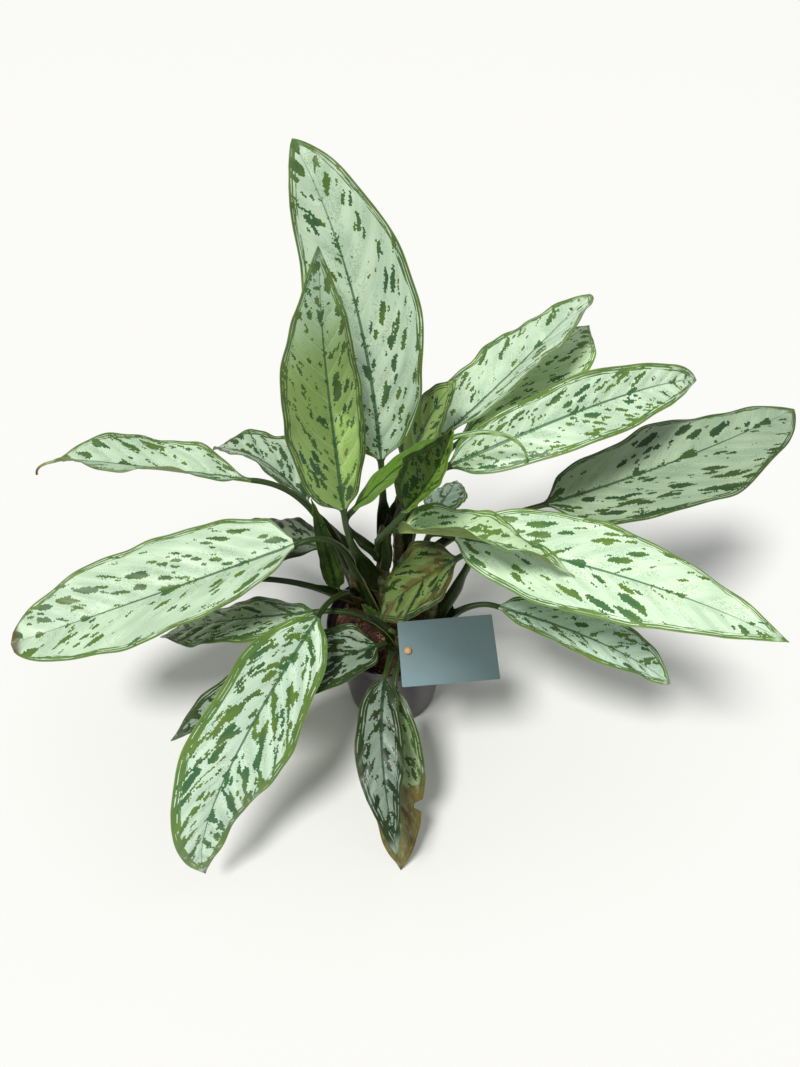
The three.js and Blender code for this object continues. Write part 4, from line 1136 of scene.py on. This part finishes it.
def soil_piece(finish):
    """The potting mix: an uneven top that sinks at the wall, on a body that fills the pot."""
    rim = POT_NECK_RADIUS - POT_WALL - SOIL_RIM_GAP
    loops = [[(0, 0, soil_height(0, 0))]]
    for k in range(1, SOIL_RINGS + 1):
        sunk = SOIL_SINKING * max(0, k / SOIL_RINGS - SOIL_SHOULDER) / (1 - SOIL_SHOULDER)
        loops.append([(x, y, soil_height(x, y) - sunk)
                      for x, y, _ in circle(rim * k / SOIL_RINGS, SOIL_SIDES)])
    taper = (POT_NECK_RADIUS - POT_BASE_RADIUS) / (POT_HEIGHT - RIM_BAND_HEIGHT)
    for height in (SOIL_WALL_TOP, POT_FLOOR + SOIL_FLOOR_GAP):
        radius = POT_BASE_RADIUS - POT_WALL + taper * height - SOIL_WALL_GAP
        loops.append(circle(radius, SOIL_SIDES, height))
    return new_piece("potting_mix", closed_mesh("potting_mix", loops), finish)


def bark_chip():
    """One small flake of bark."""
    bm = bmesh.new()
    bmesh.ops.create_icosphere(bm, subdivisions=1, radius=1)
    for vert in bm.verts:
        wobble = 1 + 0.35 * noise.noise(vert.co * 2.3)
        vert.co = vert.co * Vector(CHIP_SIZE) * wobble * MM
    return bpy.data.objects.new("bark_chip", mesh_from("bark_chip", bm))


def coir_fibre():
    """One bent fibre of coir."""
    loops = []
    for k in range(FIBRE_ROWS):
        share = k / (FIBRE_ROWS - 1)
        x = (share - 0.5) * FIBRE_LENGTH
        y = 3.5 * math.sin(2.4 * share)
        z = 2.6 * math.sin(math.pi * share)
        radius = FIBRE_RADIUS * (1 - 0.6 * abs(share - 0.5))
        loops.append([(x, y + a, z + b) for a, b, _ in circle(radius, 4)])
    return bpy.data.objects.new("coir_fibre", closed_mesh("coir_fibre", loops))


def live(sockets, name):
    """The socket of that name that is in use. Some nodes have one for each kind of value."""
    return [socket for socket in sockets if socket.enabled and socket.name == name][-1]


def scatter_tree(name, bit, finish, tilt):
    """Geometry nodes that strew copies of one bit over the top faces of a piece, each tilted
    by up to tilt radians."""
    tree = bpy.data.node_groups.new(name, "GeometryNodeTree")
    for label, way, kind in (
            ("Geometry", "INPUT", "Geometry"), ("Bits per square metre", "INPUT", "Float"),
            ("Smallest", "INPUT", "Float"), ("Largest", "INPUT", "Float"),
            ("Seed", "INPUT", "Int"), ("Geometry", "OUTPUT", "Geometry")):
        tree.interface.new_socket(label, in_out=way, socket_type="NodeSocket" + kind)

    def add(kind, inputs=(), **settings):
        """A node. Its settings come first, because they decide which sockets are in use."""
        made = tree.nodes.new(kind)
        for key, value in settings.items():
            setattr(made, key, value)
        for key, value in dict(inputs).items():
            socket = live(made.inputs, key)
            if isinstance(value, bpy.types.NodeSocket):
                tree.links.new(value, socket)
            else:
                socket.default_value = value
        return made

    given = add("NodeGroupInput").outputs
    normal = add("GeometryNodeInputNormal").outputs[0]
    upward = add("FunctionNodeCompare", {
        "A": add("ShaderNodeSeparateXYZ", {"Vector": normal}).outputs["Z"],
        "B": STREWN_SLOPE}, data_type="FLOAT", operation="GREATER_THAN")
    points = add("GeometryNodeDistributePointsOnFaces", {
        "Mesh": given["Geometry"], "Selection": upward.outputs[0],
        "Density": given["Bits per square metre"], "Seed": given["Seed"]},
        distribute_method="RANDOM")
    size = add("FunctionNodeRandomValue", {
        "Min": given["Smallest"], "Max": given["Largest"], "Seed": given["Seed"]},
        data_type="FLOAT")
    turn = add("FunctionNodeRandomValue", {
        "Min": (-tilt, -tilt, 0), "Max": (tilt, tilt, 2 * math.pi), "Seed": given["Seed"]},
        data_type="FLOAT_VECTOR")
    copies = add("GeometryNodeInstanceOnPoints", {
        "Points": points.outputs["Points"],
        "Instance": add("GeometryNodeObjectInfo", {"Object": bit}).outputs["Geometry"],
        "Rotation": live(turn.outputs, "Value"), "Scale": live(size.outputs, "Value")})
    real = add("GeometryNodeRealizeInstances", {"Geometry": copies.outputs[0]})
    coloured = add("GeometryNodeSetMaterial", {
        "Geometry": real.outputs[0], "Material": finish})
    add("NodeGroupOutput", {"Geometry": coloured.outputs[0]})
    return tree


def strewn_piece(name, ground, bit, finish, tilt, inputs):
    """What lies loose on the potting mix."""
    tree = scatter_tree(name, bit, finish, tilt)
    piece = placed(name, ground.data.copy())
    strew = piece.modifiers.new("strew", "NODES")
    strew.node_group = tree
    for item in tree.interface.items_tree:
        if item.in_out == "INPUT" and item.name in inputs:
            strew[item.identifier] = inputs[item.name]
    applied(piece)
    bpy.data.objects.remove(bit)
    return piece


# ---- Label card and its peg -----------------------------------------------------------------
CORNER_POINTS = 7
HOLE_SIDES = 32
PEG_SIDES = 32
PEG_POINT = 5  # length of the pointed end of the shaft
KNOB_LOOPS = 13
KNOB_CUT = 0.45  # how far below its centre the knob is cut off, as a share of its radius


def card_frame():
    """From the card's own place, level at the origin with its face up, to where it stands."""
    tilt, turn = math.radians(CARD_TILT), math.radians(CARD_TURN)
    face = Vector((math.sin(turn) * math.cos(tilt), -math.cos(turn) * math.cos(tilt),
                   math.sin(tilt)))
    level = Vector((math.cos(turn), math.sin(turn), 0))
    axes = Matrix((level, face.cross(level), face)).transposed().to_4x4()
    return (Matrix.Translation(Vector(CARD_CENTRE) * MM) @ axes
            @ Matrix.Rotation(math.radians(CARD_SPIN), 4, "Z"))


def card_sheet():
    """The card as a mesh, in its own place: rounded corners and a hole for its peg."""
    width, height = CARD_SIZE
    corners = []
    for side_x, side_y, first in ((1, 1, 0), (-1, 1, 90), (-1, -1, 180), (1, -1, 270)):
        for a in np.radians(np.linspace(first, first + 90, CORNER_POINTS)):
            corners.append((side_x * (width / 2 - CARD_CORNER) + CARD_CORNER * math.cos(a),
                            side_y * (height / 2 - CARD_CORNER) + CARD_CORNER * math.sin(a)))
    hole = [(PEG_ON_CARD[0] + x, PEG_ON_CARD[1] + y)
            for x, y, _ in circle(PEG_HOLE_RADIUS, HOLE_SIDES)]
    curve = bpy.data.curves.new("card_outline", "CURVE")
    curve.dimensions = "2D"
    curve.fill_mode = "BOTH"
    curve.extrude = CARD_THICKNESS / 2 * MM
    for outline in (corners, hole):
        spline = curve.splines.new("POLY")
        spline.points.add(len(outline) - 1)
        for point, (x, y) in zip(spline.points, outline):
            point.co = (x * MM, y * MM, 0, 1)
        spline.use_cyclic_u = True
    drawn = placed("card_outline", curve)
    bpy.context.view_layer.update()
    mesh = bpy.data.meshes.new_from_object(
        drawn.evaluated_get(bpy.context.evaluated_depsgraph_get()))
    bpy.data.objects.remove(drawn)
    mesh.materials.clear()
    bm = bmesh.new()
    bm.from_mesh(mesh)
    bmesh.ops.remove_doubles(bm, verts=bm.verts, dist=1e-6)
    bmesh.ops.recalc_face_normals(bm, faces=bm.faces)
    bm.to_mesh(mesh)
    bm.free()
    return mesh


def card_piece(frame_of_card, finish):
    """The blank card. Its mark "sheet" goes from 0 to 1 along its width and its height."""
    mesh = card_sheet()
    width, height = CARD_SIZE
    sheet = mesh.attributes.new("sheet", "FLOAT_VECTOR", "POINT")
    for vert, mark in zip(mesh.vertices, sheet.data):
        mark.vector = (vert.co.x / (width * MM) + 0.5, vert.co.y / (height * MM) + 0.5, 0)
    mesh.transform(frame_of_card)
    return new_piece("blank_card", mesh, finish, smooth=False)


def peg_piece(frame_of_card, finish):
    """The turned wooden peg: round knob, neck and shaft down into the potting mix."""
    through = frame_of_card @ Matrix.Translation(Vector((*PEG_ON_CARD, 0)) * MM)
    above = through.translation.z / MM - SOIL_TOP
    reach = above / math.sin(math.radians(CARD_TILT)) + PEG_DEPTH
    seat = CARD_THICKNESS / 2 + GAP
    knob_centre = seat + KNOB_CUT * PEG_KNOB_RADIUS
    shaft = [(0, -reach), (0.5, 0.6 - reach), (PEG_RADIUS, PEG_POINT - reach),
             (PEG_RADIUS, seat)]
    knob = [(PEG_KNOB_RADIUS * math.cos(a), knob_centre + PEG_KNOB_RADIUS * math.sin(a))
            for a in np.linspace(math.asin(-KNOB_CUT), math.pi / 2, KNOB_LOOPS + 1)[:-1]]
    mesh = turned_mesh(
        "wooden_peg", [*shaft, *knob, (0, knob_centre + PEG_KNOB_RADIUS)], PEG_SIDES)
    mesh.transform(through)
    return new_piece("wooden_peg", mesh, finish)


# ---- Making it all --------------------------------------------------------------------------
def dress(piece, nodes):
    """Puts a finished piece in place of the nodes that it stands for."""
    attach(piece, "root")
    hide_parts(*nodes)


undersides = {
    "silver": under_finish("under_silver", (0.22, 0.3, 0.085), (0.33, 0.41, 0.12)),
    "lime": under_finish("under_lime", (0.17, 0.36, 0.025), (0.28, 0.46, 0.05)),
}
stalks = {
    "olive": stalk_finish("stalk_olive", (0.006, 0.013, 0.002), (0.028, 0.066, 0.009)),
    "green": stalk_finish("stalk_green", (0.03, 0.055, 0.008), (0.09, 0.15, 0.022)),
}
blades = {
    "silver": blade_finish("blade_silver", SILVERS, GREENS),
    "lime": blade_finish("blade_lime", ((0.075, 0.2, 0.004), (0.13, 0.27, 0.006)), DEEP_GREENS,
                         pattern=0.25, lines=0.1, gloss=0.1),
    "dark": blade_finish("blade_dark", ((0.1, 0.2, 0.008), (0.05, 0.11, 0.004)), DEEP_GREENS,
                         pattern=0.95, lines=0.1, gloss=0.1),
}
for seed, leaf in enumerate(LEAVES):
    is_sheath = leaf.name.startswith("sheath")
    finishes = (stalks["green" if is_sheath else "olive"], blades[leaf.finish],
                undersides["silver" if leaf.finish == "silver" else "lime"])
    dress(leaf_piece(leaf, seed, finishes), [leaf.name])

cane_skin = cane_finish()
for name, stem in STEMS.items():
    dress(cane_piece(name, stem, cane_skin), [name])

dress(pot_piece(pot_finish()), ["pot"])
ground = soil_piece(mix_finish(
    "potting_mix", (0.016, 0.007, 0.005), (0.075, 0.03, 0.019), (0.18, 0.09, 0.045), 420))
bark = mix_finish("bark", (0.03, 0.014, 0.01), (0.14, 0.06, 0.035), (0.3, 0.18, 0.1), 300)
coir = mix_finish("coir", (0.05, 0.02, 0.012), (0.16, 0.07, 0.035), (0.42, 0.28, 0.16), 120)
chips = strewn_piece("bark_chips", ground, bark_chip(), bark, 0.5, {
    "Bits per square metre": 110000.0, "Smallest": 0.3, "Largest": 1.1, "Seed": 4})
fibres = strewn_piece("coir_fibres", ground, coir_fibre(), coir, 0.45, {
    "Bits per square metre": 60000.0, "Smallest": 0.35, "Largest": 1.15, "Seed": 9})
for piece in (ground, chips, fibres):
    dress(piece, ["soil"])

card_place = card_frame()
dress(card_piece(card_place, card_finish()), ["label_card"])
dress(peg_piece(card_place, wood_finish()), ["label_peg"])


# ---- Studio ---------------------------------------------------------------------------------
FLOOR_REACH = 14  # metres
FLOOR_COLOUR = (0.88, 0.88, 0.87)
SKY_COLOUR = (0.97, 0.985, 1, 1)
SKY_STRENGTH = 0.4
SUN_COLOUR = (1, 0.985, 0.955)
SUN_STRENGTH = 2.6
SUN_ANGLE = 16  # degrees: a wide sun gives soft shadows
SUN_DIRECTION = (0.32, 0.42, -1)


def studio():
    """A pale floor, a soft sun from the front left, a pale sky and the camera."""
    scene = bpy.context.scene
    mesh = bpy.data.meshes.new("studio_floor")
    corners = [(x * FLOOR_REACH, y * FLOOR_REACH, 0) for x, y in (
        (-1, -1), (1, -1), (1, 1), (-1, 1))]
    mesh.from_pydata(corners, [], [(0, 1, 2, 3)])
    mesh.materials.append(Paint("studio_floor").done(base_color=FLOOR_COLOUR, roughness=0.8))
    placed("studio_floor", mesh)

    scene.world = bpy.data.worlds.new("studio")
    scene.world.use_nodes = True
    sky = scene.world.node_tree.nodes["Background"]
    sky.inputs["Color"].default_value = SKY_COLOUR
    sky.inputs["Strength"].default_value = SKY_STRENGTH

    sun = bpy.data.lights.new("soft_key", "SUN")
    sun.energy = SUN_STRENGTH
    sun.angle = math.radians(SUN_ANGLE)
    sun.color = SUN_COLOUR
    placed("soft_key", sun).rotation_euler = Vector(
        SUN_DIRECTION).to_track_quat("-Z", "Y").to_euler()

    camera_data = bpy.data.cameras.new("camera")
    camera_data.lens, camera_data.sensor_width = CAMERA_LENS, CAMERA_SENSOR
    camera_data.sensor_fit = "AUTO"
    scene.camera = placed("camera", camera_data)
    scene.camera.location = Vector(CAMERA_PLACE) * MM
    scene.camera.rotation_euler = Euler((math.radians(90 - CAMERA_PITCH), 0, 0))
    scene.view_settings.view_transform = "Standard"


studio()
